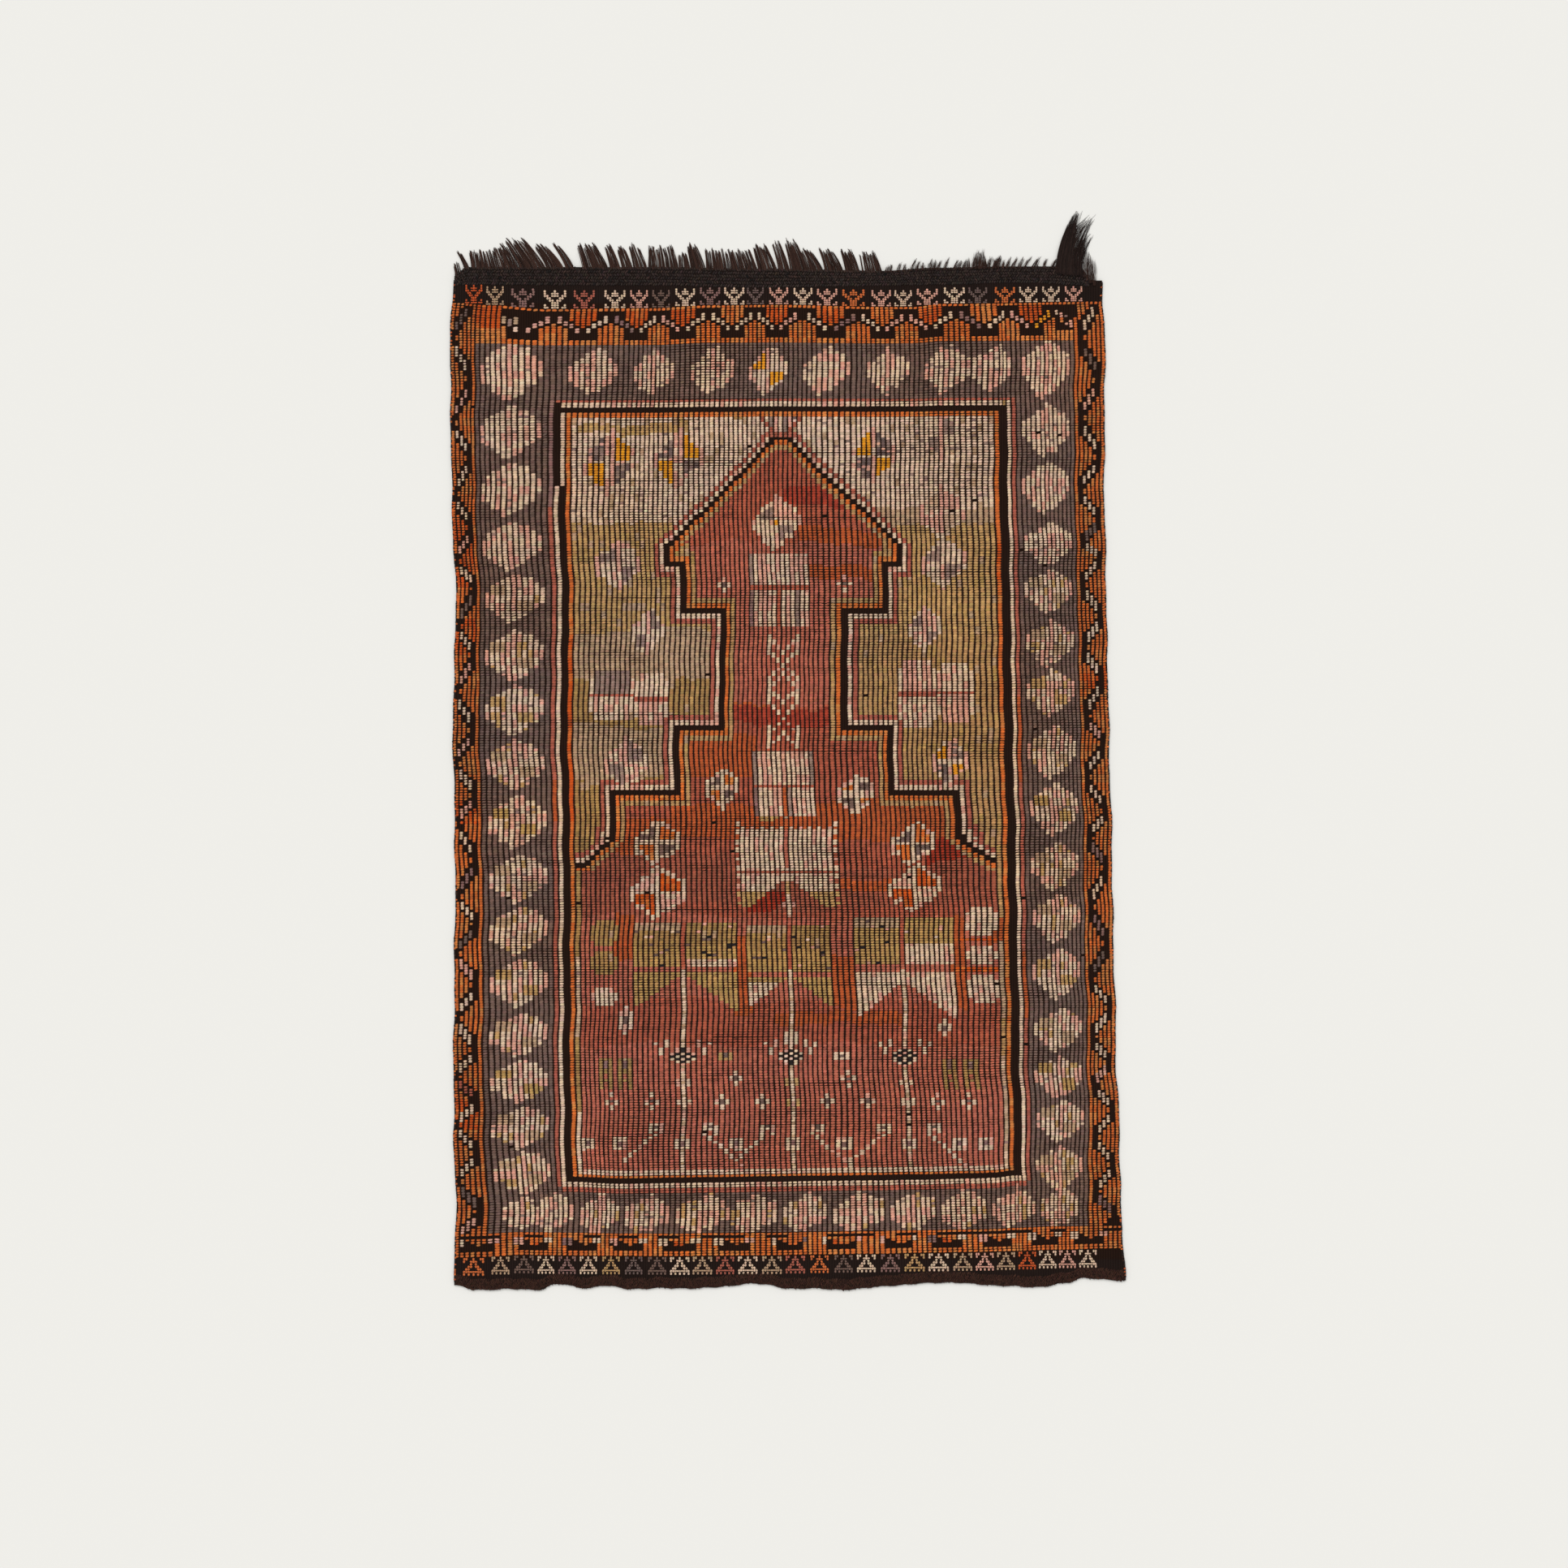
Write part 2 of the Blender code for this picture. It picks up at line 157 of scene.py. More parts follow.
# Stretches of columns from the left: how many columns, and how wide each one is beside the others.
STRETCHES = {
    "left zigzag border": (6, 5.5), "left grey band": (14, 6.8), "left frame lines": (4, 7.0),
    "left ground": (16, 6.1), "left shoulder": (12, 6.5), "niche": (21, 5.9), "right shoulder": (7, 7.2),
    "right ground": (18, 6.1), "right inner lines": (10, 6.8), "right frame lines": (2, 4.3),
    "right grey band": (7, 6.1), "right zigzag border": (15, 5.2),
}
# How far the columns drift sideways, at five heights.
DRIFTS = table(
    "column foot low middle high head", "foot low middle high head",
    (0, 0, 0, 0, 0, 0), (11, 13, 5, 0, -7, -4), (22, 2, 0, -1, -2, 6), (33, -7, -4, 0, 4, 14),
    (44, -8, -1, 0, 2, 7), (55, -3, 0, -3, 1, 5), (66, 4, 4, -2, -2, 0), (77, 5, 4, -4, -2, -1),
    (88, 10, 3, -4, -2, -3), (99, 10, 3, -4, -3, -4), (110, -1, 2, 1, 0, -3), (121, -8, 2, 2, 0, -4),
    (132, 0, 0, 0, 0, 0),
)
# How many rows the weaving rises above its straight place, at the brocade's foot and at the frame's foot.
RISES = table(
    "column foot frame", "",
    (0, 0.0, 0.3), (5, 0.3, 0.3), (11, 1.2, 0.3), (15, 1.0, 0.3), (21, 0.9, 0.3), (33, 0.8, -0.5),
    (44, 0.6, -0.2), (50, 0.8, 0.0), (60, 0.9, 0.3), (70, 1.3, 0.6), (80, 1.6, 0.8), (88, 1.9, 1.1),
    (100, 2.2, 1.5), (104, 2.4, 1.8), (108, 2.6, 2.7), (118, 3.2, 2.9), (132, 3.6, 3.0),
)
# The same at the head: at the top row, at the border's foot and at the frame's black line.
HEAD_RISES = table(
    "column top border frame", "",
    (0, 0.7, 0.0, -1.0), (10, -0.5, -0.1, -1.0), (18, -1.9, -0.8, -0.9), (38, -1.6, -0.7, -0.8),
    (50, -0.4, 0.2, -0.5), (64, -0.2, 0.3, -0.3), (85, -1.0, -0.1, -0.4), (92, -1.0, 0.0, -0.3),
    (98, 0.2, 0.8, 0.0), (132, 1.0, 1.2, 0.4),
)

# The fringe, bunch by bunch from the left: each bunch's locks lean and close towards its middle.
Bunch = namedtuple("Bunch", "start end locks reach lean keep curl")
FRINGE = table(
    Bunch, "start end reach",
    (-455, -447, 2, 13, -0.35, 0.7, 1.2), (-443, -436, 2, 19, -0.65, 0.6, 1.2),
    (-433, -400, 7, 21, -0.27, 0.9, 1.2), (-399, -384, 3, 25, -0.42, 0.9, 1.2),
    (-383, -368, 3, 29, -0.60, 0.9, 1.2), (-367, -331, 7, 37, -0.78, 0.8, 1.2),
    (-330, -307, 4, 31, -0.85, 0.7, 1.3), (-304, -292, 2, 30, -0.75, 0.6, 1.3),
    (-281, -246, 7, 30, -0.50, 0.7, 1.2), (-244, -229, 3, 29, -0.42, 0.7, 1.2),
    (-227, -212, 3, 26, -0.45, 0.7, 1.2), (-211, -193, 3, 30, -0.40, 0.7, 1.2),
    (-191, -162, 5, 27, -0.15, 0.8, 1.2), (-161, -150, 2, 28, -0.28, 0.7, 1.2),
    (-149, -134, 3, 18, -0.22, 0.8, 1.2), (-133, -113, 4, 31, -0.35, 0.6, 1.2),
    (-112, -78, 7, 24, -0.20, 0.9, 1.2), (-77, -42, 7, 24, -0.38, 0.9, 1.2), (-41, -15, 5, 31, -0.42, 0.7, 1.2),
    (-14, 2, 3, 37, -0.35, 0.7, 1.2), (3, 27, 5, 39, -0.38, 0.6, 1.2), (28, 48, 4, 27, -0.62, 0.7, 1.2),
    (50, 76, 5, 27, -0.50, 0.7, 1.3), (78, 99, 4, 26, -0.42, 0.7, 1.3), (101, 128, 5, 24, -0.35, 0.8, 1.3),
)
# The loose hair at the right end of the twining: the tail's own, which starts down on the twining and parts into
# three tips, and a thin tuft beside it that stands on the corner of the cloth. Two more tufts are in the fringe.
LooseBunch = namedtuple("LooseBunch", Bunch._fields + ("strands", "depth", "thickness"))
LOOSE_LENGTHS = "start end reach depth"
TAIL_HAIR = table(
    LooseBunch, LOOSE_LENGTHS,
    (366, 388, 7, 77, 0.27, 0.17, 1.9, 30, -14, 0.46), (372, 401, 7, 70, 0.48, 0.30, 2.8, 18, -15, 0.4),
    (382, 402, 5, 44, 0.55, 0.35, 2.4, 18, -15, 0.36),
)
CORNER_HAIR = table(
    LooseBunch, LOOSE_LENGTHS,
    (403, 420, 4, 34, -0.10, 0.75, 1.0, 11, -15, 0.26), (406, 421, 3, 25, 0.08, 0.8, 1.2, 8, -14, 0.22),
)
TUFTS = table(
    LooseBunch, LOOSE_LENGTHS,
    (249, 273, 6, 21, 0.05, 0.35, 1.0, 12, -7, 0.32), (279, 289, 2, 13, 0.50, 0.30, 1.2, 16, -7, 0.40),
)
# Short wisps, one every few millimetres, from the last lock to the tail.
WISP_PITCH, WISP_START, WISP_END, WISP_WIDTH = 8.3 * MM, 131 * MM, 364 * MM, 4.2 * MM
HEADING_END, HEADING_DROP, HEADING_LAP = 404 * MM, 4.5 * MM, 7.0 * MM
LENGTH_SPREAD = 0.16


def eased(rows, at, field):
    """A field of a table at each place, easing from every row to the next."""
    places = np.array([row[0] for row in rows], float)
    values = np.array([getattr(row, field) for row in rows], float)
    at = np.clip(np.asarray(at, float), places[0], places[-1])
    low = np.clip(np.searchsorted(places, at, side="right") - 1, 0, len(places) - 2)
    share = (at - places[low]) / (places[low + 1] - places[low])
    return values[low] + (values[low + 1] - values[low]) * share * share * (3 - 2 * share)


def column_shares():
    """Where each column's left side lies across the cloth, from 0 to 1."""
    widths = [pitch for columns, pitch in STRETCHES.values() for _ in range(columns)]
    return np.concatenate([[0.0], np.cumsum(widths)]) / sum(widths)


SHARES = column_shares()


def wander(column, along):
    """The sideways drift of a column at a height from the foot (0) to the head (1)."""
    column, along = np.broadcast_arrays(np.asarray(column, float), np.asarray(along, float))
    values = np.stack([eased(DRIFTS, column, field) for field in DRIFTS[0]._fields[1:]])
    low = np.clip(np.floor(along * 4).astype(int), 0, 3)
    share = np.clip(along * 4 - low, 0, 1)
    first = np.take_along_axis(values, low[None], 0)[0]
    second = np.take_along_axis(values, low[None] + 1, 0)[0]
    return first + (second - first) * share * share * (3 - 2 * share)


def wavy(at, waves):
    """The sum of an edge's waves at a place along it."""
    return sum(height * np.sin(at * rate + start) for rate, start, height in waves)


def side_edges(along):
    """The places along X of the cloth's left and right edges."""
    left = HALF_WIDTH + eased(SELVEDGES, along, "left") + SELVEDGE_WAVE * wavy(along, LEFT_WAVES)
    return -left, HALF_WIDTH + eased(SELVEDGES, along, "right") + SELVEDGE_WAVE * wavy(along, RIGHT_WAVES)


def head_line(across):
    return CLOTH_LENGTH / 2 + eased(HEAD_LINE, across, "rise")


def cloth_y(across, along):
    """The place along Y of a point of the cloth, before the whole rug is centred."""
    ripple = HEM_RIPPLE * wavy(across, HEM_WAVES)
    foot = (ripple - eased(HEM_EDGE, across, "drop")) * (1 - along) ** WAVE_FADE
    head = (head_line(across) - CLOTH_LENGTH / 2 - GAP / 2) * along**WAVE_FADE
    return CLOTH_LENGTH * (along - 0.5) + foot + head


def column_x(column, along):
    """Where a column's side lies at a height, before the whole rug is centred."""
    left, right = side_edges(along)
    share = np.interp(column, np.arange(COLUMNS + 1), SHARES)
    return left + (right - left) * share + wander(column, along)


def across_at(x, along=1.0):
    """The share of the cloth's width at a place along X, at the head or at another height."""
    left, right = side_edges(along)
    return (x - left) / (right - left)


def strip_top(x):
    """The twining's outer edge at a place along X."""
    across = across_at(x)
    return head_line(across) + eased(HEAD_LINE, across, "depth")


def centring():
    """How far the solids' whole plan was moved to stand on the origin."""
    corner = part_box(PANEL)[0]
    spread = np.linspace(0, 1, 400)
    return corner[0] - column_x(0, spread).min(), corner[1] - cloth_y(spread, 0.0).min()


SHIFT_X, SHIFT_Y = centring()


def rise(column, row):
    """How many rows the weaving stands above its straight place."""
    foot, frame_foot = eased(RISES, column, "foot"), eased(RISES, column, "frame")
    low = foot + (frame_foot - foot) * np.clip(row / FRAME_ROW, 0, 1)
    fade = np.clip((FOOT_FADE - row) / (FOOT_FADE - FRAME_ROW), 0, 1)
    top, border, line = (eased(HEAD_RISES, column, field) for field in ("top", "border", "frame"))
    head = np.where(
        row < HEAD_BAND,
        line + (border - line) * np.clip((row - HEAD_FRAME) / (HEAD_BAND - HEAD_FRAME), 0, 1),
        border + (top - border) * np.clip((row - HEAD_BAND) / (ROWS - HEAD_BAND), 0, 1),
    )
    return low * fade + head * np.clip((row - HEAD_FADE) / FRAME_ROW, 0, 1)


def chart_place(column, row):
    """The point on the floor of a place in the chart, its row counted straight up from row 0."""
    y = FOOT_LINE - CLOTH_LENGTH / 2 + row * ROW_PITCH
    x = column_x(column, y / CLOTH_LENGTH + 0.5)
    return x + SHIFT_X, y + SHIFT_Y


# Yarns: how each looks in daylight, as 8-bit red, green and blue.
YARNS = {
    "bare": (20, 13, 11), "rose": (188, 104, 82), "old rose": (166, 88, 66), "brick": (186, 88, 46),
    "niche red": (178, 90, 66), "madder": (165, 62, 42), "deep red": (160, 50, 27), "frame rose": (176, 94, 74),
    "orange": (212, 108, 50), "red orange": (202, 84, 30), "pale orange": (212, 128, 68),
    "cream": (226, 192, 162), "pink": (221, 161, 139), "grey": (118, 90, 78), "pale grey": (154, 124, 110),
    "slate": (114, 91, 84), "mauve": (142, 104, 96), "tan": (187, 143, 94), "olive": (170, 130, 79),
    "drab": (188, 152, 119), "beige": (204, 167, 136), "ivory": (229, 193, 165), "gold": (186, 145, 88),
    "yellow": (230, 150, 44), "straw": (194, 151, 98), "hem brown": (60, 36, 27),
    "heading brown": (50, 36, 31), "black": (30, 20, 17),
}
YARN_NUMBER = {name: number for number, name in enumerate(YARNS)}
FRINGE_DYE, TAIL_DYE = (56, 37, 30), (36, 24, 20)

# The niche's inside, stretch by stretch of rows: low and high row, the left side there, and the right side there.
NICHE = (
    (31, 149.5, 22, 22, 108, 108), (149.5, 161, 24.6, 30.9, 107.0, 99.4), (161, 177.5, 31, 31, 99, 99),
    (177.5, 203.2, 44, 44, 86, 86), (203.2, 250.2, 53, 53, 77, 77), (250.2, 268, 45, 45, 85, 85),
    (268, 274, 42, 42, 88, 88), (274, 314.5, 42.4, 64, 88, 67),
)
# The rows where the niche's outline starts, and where it slants: from there to the shoulder's top, and again from
# the gable's foot up.
OUTLINE_FOOT, SHOULDER_TOP, GABLE_FOOT = 149, 161, 275
# Dyed ground: low and high row, left and right column, and the yarn; later bands lie over earlier ones.
SPANDREL_GROUND = (
    (31, 400, 0, 132, "olive"), (149, 184, 0, 66, "olive"), (149, 276, 66, 132, "tan"),
    (184, 205, 0, 66, "drab"), (205, 222, 0, 66, "olive"), (222, 241, 0, 66, "drab"),
    (241, 283, 0, 132, "straw"), (283, 325, 0, 132, "ivory"), (317.5, 321.5, 24, 46, "straw"),
    (283, 289, 66, 132, "drab"),
)
NICHE_GROUND = (
    (31, 85, 22, 108, "rose"), (81, 98, 22, 108, "niche red"), (88, 93, 62, 88, "brick"),
    (98, 131, 22, 108, "rose"), (114, 131, 31, 35, "brick"), (94, 124, 54, 58, "brick"),
    (94, 118, 74, 78, "brick"), (94, 131, 97, 100, "brick"), (121, 131, 104, 108, "brick"),
    (131, 154, 22, 108, "old rose"), (131, 136, 44, 100, "niche red"), (142, 146, 76, 90, "brick"),
    (154, 168, 22, 66, "brick"), (154, 160, 40, 56, "niche red"), (150, 160, 66, 98, "niche red"),
    (160, 176, 66, 108, "brick"), (151.5, 160.5, 93, 101, "deep red"), (168, 178, 22, 60, "niche red"),
    (166, 173, 42, 60, "brick"), (176, 213, 40, 90, "niche red"), (183, 200, 44, 60, "brick"),
    (205, 212, 50, 80, "madder"), (212, 220, 50, 62, "brick"), (213, 275, 40, 90, "rose"),
    (262, 267, 71, 85, "brick"), (275, 316, 40, 90, "niche red"), (275, 281, 69, 90, "brick"),
    (289, 296, 66, 90, "madder"),
)

# Hexagons: the middle column and row, columns to each side, rows up and down, and the quarters' yarns.
Hexagon = namedtuple("Hexagon", "column row reach half upper_left upper_right lower_left lower_right")
# A hexagon's height at six steps from its middle column to its rim, as a share of its height at the middle.
ROUNDED = (1.0, 0.96, 0.87, 0.73, 0.52, 0.35)
POINTED = (1.0, 0.9, 0.74, 0.58, 0.42, 0.26)


def plain(column, row, reach, half):
    return Hexagon(column, row, reach, half, "cream", "cream", "cream", "cream")


def quartered(column, row, reach, half, rising, falling):
    """A hexagon whose opposite quarters match: the rising pair is lower left and upper right."""
    return Hexagon(column, row, reach, half, falling, rising, rising, falling)


LEFT_HEXAGON_ROWS = (318, 296, 274, 254, 232, 211, 190, 168, 146, 126, 106, 86, 68, 50.5, 33)
RIGHT_HEXAGON_ROWS = (319, 297, 275, 257, 237, 218, 195, 173, 151, 131, 110, 88, 70, 53, 35)
HEAD_HEXAGON_COLUMNS = (26.5, 38.5, 50.5, 62.5, 74.5, 86.5, 98.5, 107)
FOOT_HEXAGON_COLUMNS = (11.5, 18, 27.5, 37.5, 48, 57.5, 67.5, 77.5, 87.5, 97.5, 108, 118.5)

# The zigzag borders: the rows where the line turns, from the head, first against the plain column and then
# against the selvedge by turns, and the yarn of the stitches that run down between each two turns.
LEFT_TURNS = (
    382, 368, 354, 339, 322, 308, 294, 281, 268, 258, 243, 232, 218, 203, 190, 178, 167.5, 153, 139, 128, 117,
    105, 92, 80, 69.5, 60, 51, 40, 29, 17, 7,
)
LEFT_CHAIN = (
    "drab grey cream pink cream cream cream pink cream grey cream pink cream pink cream pink cream mauve "
    "cream grey pink cream cream cream frame_rose cream cream cream grey pink"
)
RIGHT_TURNS = (
    368, 353, 337, 323, 308, 295, 284, 275, 270, 259, 247, 235, 223, 208, 198, 185, 172, 162, 150, 135, 121,
    107, 96, 84, 74, 65, 55, 44, 33, 22, 13,
)
RIGHT_CHAIN = (
    "cream grey pink cream cream cream grey cream cream cream cream cream cream pink cream cream cream mauve "
    "cream mauve grey cream cream cream pink cream cream cream cream mauve"
)
# The borders' lanes of columns, from the plain column to the selvedge, and the rows where their orange turns red.
LEFT_LANES, RIGHT_LANES = (4, 3, 2, 1, 0), (126, 127, 128, 129, 130, 131)
LEFT_RED, RIGHT_RED = ((49, 61), (167, 176), (232, 246), (258, 284)), ((219, 228),)
# How far a border's triangles reach along each lane from their middle, as a share of the way to the next turn.
REACH_FROM_INNER = (0.54, 0.42, 0.24, 0.06, 0.0, 0.0)
REACH_FROM_SELVEDGE = (0.0, 0.05, 0.23, 0.42, 0.57, 0.97)
NARROW_FROM_SELVEDGE = REACH_FROM_SELVEDGE[:4] + (0.8,)

HEAD_TROUGHS = (14, 24, 34, 44, 54, 64, 75, 85, 95, 105, 115)
FOOT_TROUGHS = (3.5, 13.5, 23.5, 33.5, 43.5, 53.5, 64, 74, 84, 93.5, 103.5, 114.5, 124.5)
CHAIN_YARNS = ("pink", "cream", "cream", "pink", "cream", "mauve", "cream")
# Rows and columns where the borders, the grey band and the field meet.
FOOT_BAND, TEETH_ROW = 9.4, 352.3
FIELD_FOOT, FIELD_HEAD, FIELD_LEFT, FIELD_RIGHT = 27, 331, 20, 111
BORDER_LEFT, BORDER_RIGHT = 7, 125


def cloud(chance, down, across):
    """Smooth patches between -1 and 1 over the chart, about so many rows down and columns across each."""
    high, wide = ROWS // down + 2, COLUMNS // across + 2
    coarse = chance.uniform(-1, 1, (high, wide))
    part = np.stack([np.interp(np.arange(COLUMNS) / across, np.arange(wide), line) for line in coarse])
    return np.stack([np.interp(np.arange(ROWS) / down, np.arange(high), line) for line in part.T], 1)


class Chart:
    """The stitch chart. A place's row is counted along the weaving, its level straight up from row 0."""

    def __init__(self):
        self.column, self.row = np.meshgrid(np.arange(COLUMNS) + 0.5, np.arange(ROWS) + 0.5)
        self.level = self.row + rise(self.column, self.row)
        self.yarn = np.full(self.row.shape, YARN_NUMBER["rose"])
        self.chance = draws("chart")
        self.ragged = self.chance.uniform(-1.0, 1.0, (2, COLUMNS))[:, None] * np.ones((1, ROWS, 1))

    def paint(self, yarn, where):
        self.yarn[where] = YARN_NUMBER[yarn.replace("_", " ")]

    def has(self, *yarns):
        return np.isin(self.yarn, [YARN_NUMBER[yarn] for yarn in yarns])

    def box(self, left, right, low, high, level=None):
        """The stitches between two columns and two rows."""
        level = self.level if level is None else level
        return (self.column > left) & (self.column < right) & (level > low) & (level < high)

    def blocks(self, yarn, *sides, level=None):
        """Filled boxes of one yarn, each from its left, right, low and high side."""
        for side in sides:
            self.paint(yarn, self.box(*side, level))

    def cell(self, yarn, column, level, tall=2.0):
        """One stitch or a short stack of them in a column."""
        self.blocks(yarn, (column, column + 1, level - tall / 2, level + tall / 2))

    def cells(self, yarn, column, level, steps, tall=2.0):
        """Cells at steps across and up from a place."""
        for across, up in steps:
            self.cell(yarn, column + across, level + up, tall)

    def stripes(self, yarns, left, low, high):
        """Columns side by side, each in its own yarn."""
        for number, yarn in enumerate(yarns.split()):
            self.blocks(yarn, (left + number, left + number + 1, low, high))

    def hexagon(self, shape, inset=0.0, pale="pink", row=None, sides=ROUNDED):
        """A hexagon of stitches: pale rims and middle column, and four quarters of their own yarn."""
        across = self.column - shape.column
        away = np.abs(across)
        up = (self.level if row is None else row) - shape.row
        profile = np.interp(away / shape.reach, (0, 0.2, 0.4, 0.6, 0.8, 1.0), sides)
        skew = 0.8 * np.sign(across) * np.sign(up) + np.where(up > 0, self.ragged[0], self.ragged[1])
        inside = (away < shape.reach + 0.3) & (np.abs(up) < shape.half * profile + skew)
        self.paint("cream", inside)
        quarters = inside & (away < shape.reach - 0.7) & (np.abs(up) < shape.half * profile + skew - inset)
        quarters &= np.abs(up) > inset / 2
        self.paint(shape.upper_left, quarters & (across < -0.5) & (up > 0))
        self.paint(shape.upper_right, quarters & (across > 0.5) & (up > 0))
        self.paint(shape.lower_left, quarters & (across < -0.5) & (up < 0))
        self.paint(shape.lower_right, quarters & (across > 0.5) & (up < 0))
        self.paint(pale, inside & ((away > shape.reach - 0.6) | (away < 0.6)))

    def spread(self, where, with_corners):
        """A region grown by one column and two rows, with its outer corners or without them."""
        grown = where.copy()
        grown[:, 1:] |= where[:, :-1]
        grown[:, :-1] |= where[:, 1:]
        sideways = grown.copy() if with_corners else where
        for step in (1, 2):
            grown[step:] |= sideways[:-step]
            grown[:-step] |= sideways[step:]
        return grown

    def outline(self, inside):
        """The niche's lines: tan and orange inside, black, cream and rose outside it."""
        slanted = (self.level > GABLE_FOOT) | ((self.level > OUTLINE_FOOT) & (self.level < SHOULDER_TOP))

        def grow(where):
            return np.where(slanted, self.spread(where, False), self.spread(where, True))

        within, region, band = inside, inside, {}
        for name in ("orange", "tan"):
            narrower = ~grow(~within)
            band[name] = within & ~narrower
            within = narrower
        for name in ("bare", "cream", "frame rose"):
            wider = grow(region)
            band[name] = wider & ~region
            region = wider
        return band


def paint_grounds(chart):
    """The dyed bands of the field and of the niche, and the niche's outline."""
    uneven = chart.level + 2.6 * cloud(chart.chance, 30, 9) + 1.2 * cloud(chart.chance, 12, 2)
    inside = np.zeros(chart.row.shape, bool)
    for low, high, left_low, left_high, right_low, right_high in NICHE:
        share = np.clip((chart.level - low) / (high - low), 0, 1)
        left, right = left_low + (left_high - left_low) * share, right_low + (right_high - right_low) * share
        inside |= (chart.level > low) & (chart.level <= high) & (chart.column > left) & (chart.column < right)
    for bands, where in ((SPANDREL_GROUND, True), (NICHE_GROUND, inside)):
        for low, high, left, right, yarn in bands:
            chart.paint(yarn, where & chart.box(left, right, low, high, uneven))
    for yarn, where in chart.outline(inside).items():
        chart.paint(yarn, where & (chart.level >= OUTLINE_FOOT))


# The striped blocks of the niche: the columns' yarns, the first column, and the rows.
UPPER_STRIPES = (
    ("pale_grey cream pink pink cream cream pink cream cream pink cream pink cream", 58, 258, 271.5),
    ("mauve cream pink pink cream cream niche_red cream pink cream pale_grey cream pink", 58, 243.3, 258),
)
LOWER_STRIPES = (
    ("pale_grey cream pink pink cream cream pink cream cream pink cream pink pale_grey", 59, 182, 195),
    ("mauve cream cream pink pink cream brick pale_grey cream cream pink cream cream", 59, 169.5, 181),
)
# The lattice between the niche's blocks: each crossing's level, and how steeply its arms climb and fall.
LATTICE = (
    (233.3, 1.95, 0), (228.3, 1.9, 1.75), (224.7, 0, 1.95), (214.3, 1.4, 0), (207.6, 2.1, 2.1), (201.9, 0, 1.7),
)


def paint_niche(chart):
    """The ornaments inside the niche, from its top down."""
    shape = Hexagon(64.5, 283, 5, 10.5, "pale grey", "pink", "cream", "pale grey")
    chart.hexagon(shape, inset=2.0, sides=POINTED)
    chart.cell("yellow", 64, 283, 2.5)
    for yarns, *place in UPPER_STRIPES:
        chart.stripes(yarns, *place)
    chart.blocks("niche red", (58, 71, 257, 258.8))
    paint_cross(chart, 52, 259)
    paint_cross(chart, 77, 259.5)
    for side in (62, 68):
        for low, high in ((232.2, 239.8), (213.1, 223.6), (196.1, 205)):
            chart.blocks("cream", (side, side + 1, low, high))
    for level, climb, fall in LATTICE:
        for slope in (climb, -fall):
            steps = [(away, slope * abs(away)) for away in range(-2, 3) if slope or not away]
            chart.cells("cream", 65, level, steps, 1.7)
    for yarns, *place in LOWER_STRIPES:
        chart.stripes(yarns, *place)
    chart.blocks("niche red", (59, 72, 180.6, 182))
    paint_tree_head(chart, 65, 10, 167.5, 148.8, 134.5)
    paint_notch(chart, 65, 10, 146, 134)
    for inset, shape in (
        (2.0, (52.5, 181, 3.5, 8, "orange", "grey")), (2.0, (79.5, 178.5, 3.5, 8, "grey", "orange")),
        (1.7, (39.5, 160, 4.5, 9, "orange", "grey")), (1.7, (39.5, 140.6, 5.5, 10.5, "red orange", "pink")),
        (1.7, (90.5, 159.5, 4.5, 8.5, "orange", "grey")), (1.7, (90.5, 142.5, 5.5, 9, "red orange", "pink")),
    ):
        chart.hexagon(quartered(*shape), inset=inset, pale="cream", sides=POINTED)


def paint_cross(chart, column, level):
    """A small cross of cream stitches round a dark one."""
    chart.cells("cream", column, level, ((-1, 0), (1, 0), (0, 2.2), (0, -2.2)))
    chart.cell("grey", column, level, 1.6)


def paint_tree_head(chart, stem, reach, top, waist, foot):
    """A block with a stem through it, dashed sides and a ragged top, over a second, narrower band."""
    left, right, line = stem - reach, stem + reach, waist - 7.5
    chart.blocks("cream", (left + 1, right, waist, top - 2), (left + 1, right, line, waist - 1))
    chart.cells("cream", stem, top - 1.9, [(step, 0) for step in range(1 - reach, reach, 2)], 1.6)
    chart.blocks("straw", (left + 1, right, foot, line))
    for level in np.arange(foot + 2, top, 3.4):
        chart.cells("straw" if level < line else "cream", stem, level, ((-reach, 0), (reach, 0)), 1.9)
    chart.blocks("rose", (stem, stem + 1, waist + 1, top - 2))


def paint_notch(chart, stem, reach, top, foot):
    """The triangle of ground under a block, from its top at the stem to its foot at the sides."""
    away = np.abs(chart.column - stem - 0.5)
    slope = top - (away - 0.5) * (top - foot) / (reach - 2)
    where = chart.box(stem - reach, stem + reach + 1, foot - 1, top) & (chart.level < slope) & (away > 0.6)
    chart.paint("old rose", where)
    strip = (chart.level > 133) & (chart.level < 141) & (slope - chart.level < 8)
    chart.paint("deep red", where & strip & (chart.column < stem))
    chart.blocks("straw", (stem, stem + 1, 140, 145))
    chart.blocks("cream", (stem, stem + 1, 131, 140))
    chart.cells("cream", stem, 136, ((-1, 0), (1, 0)))


# The trees of the lower field: the stem's column, columns to its left and right, and the top, line and foot of
# each one's block.
TREES = ((44, 9, 10, 129.5, 111, 96.5), (65, 8, 8.5, 128.5, 109, 97), (87, 9, 10, 131, 111.5, 93.5))
LEFT_TREE, MIDDLE_TREE, RIGHT_TREE = (tree[0] for tree in TREES)
# The level of every tree's star, hooks and lowest branches, and of the one row of flowers.
STAR_LEVEL, HOOK_LEVEL, BRANCH_LEVEL, FLOWER_LEVEL = 77.5, 79, 48, 44


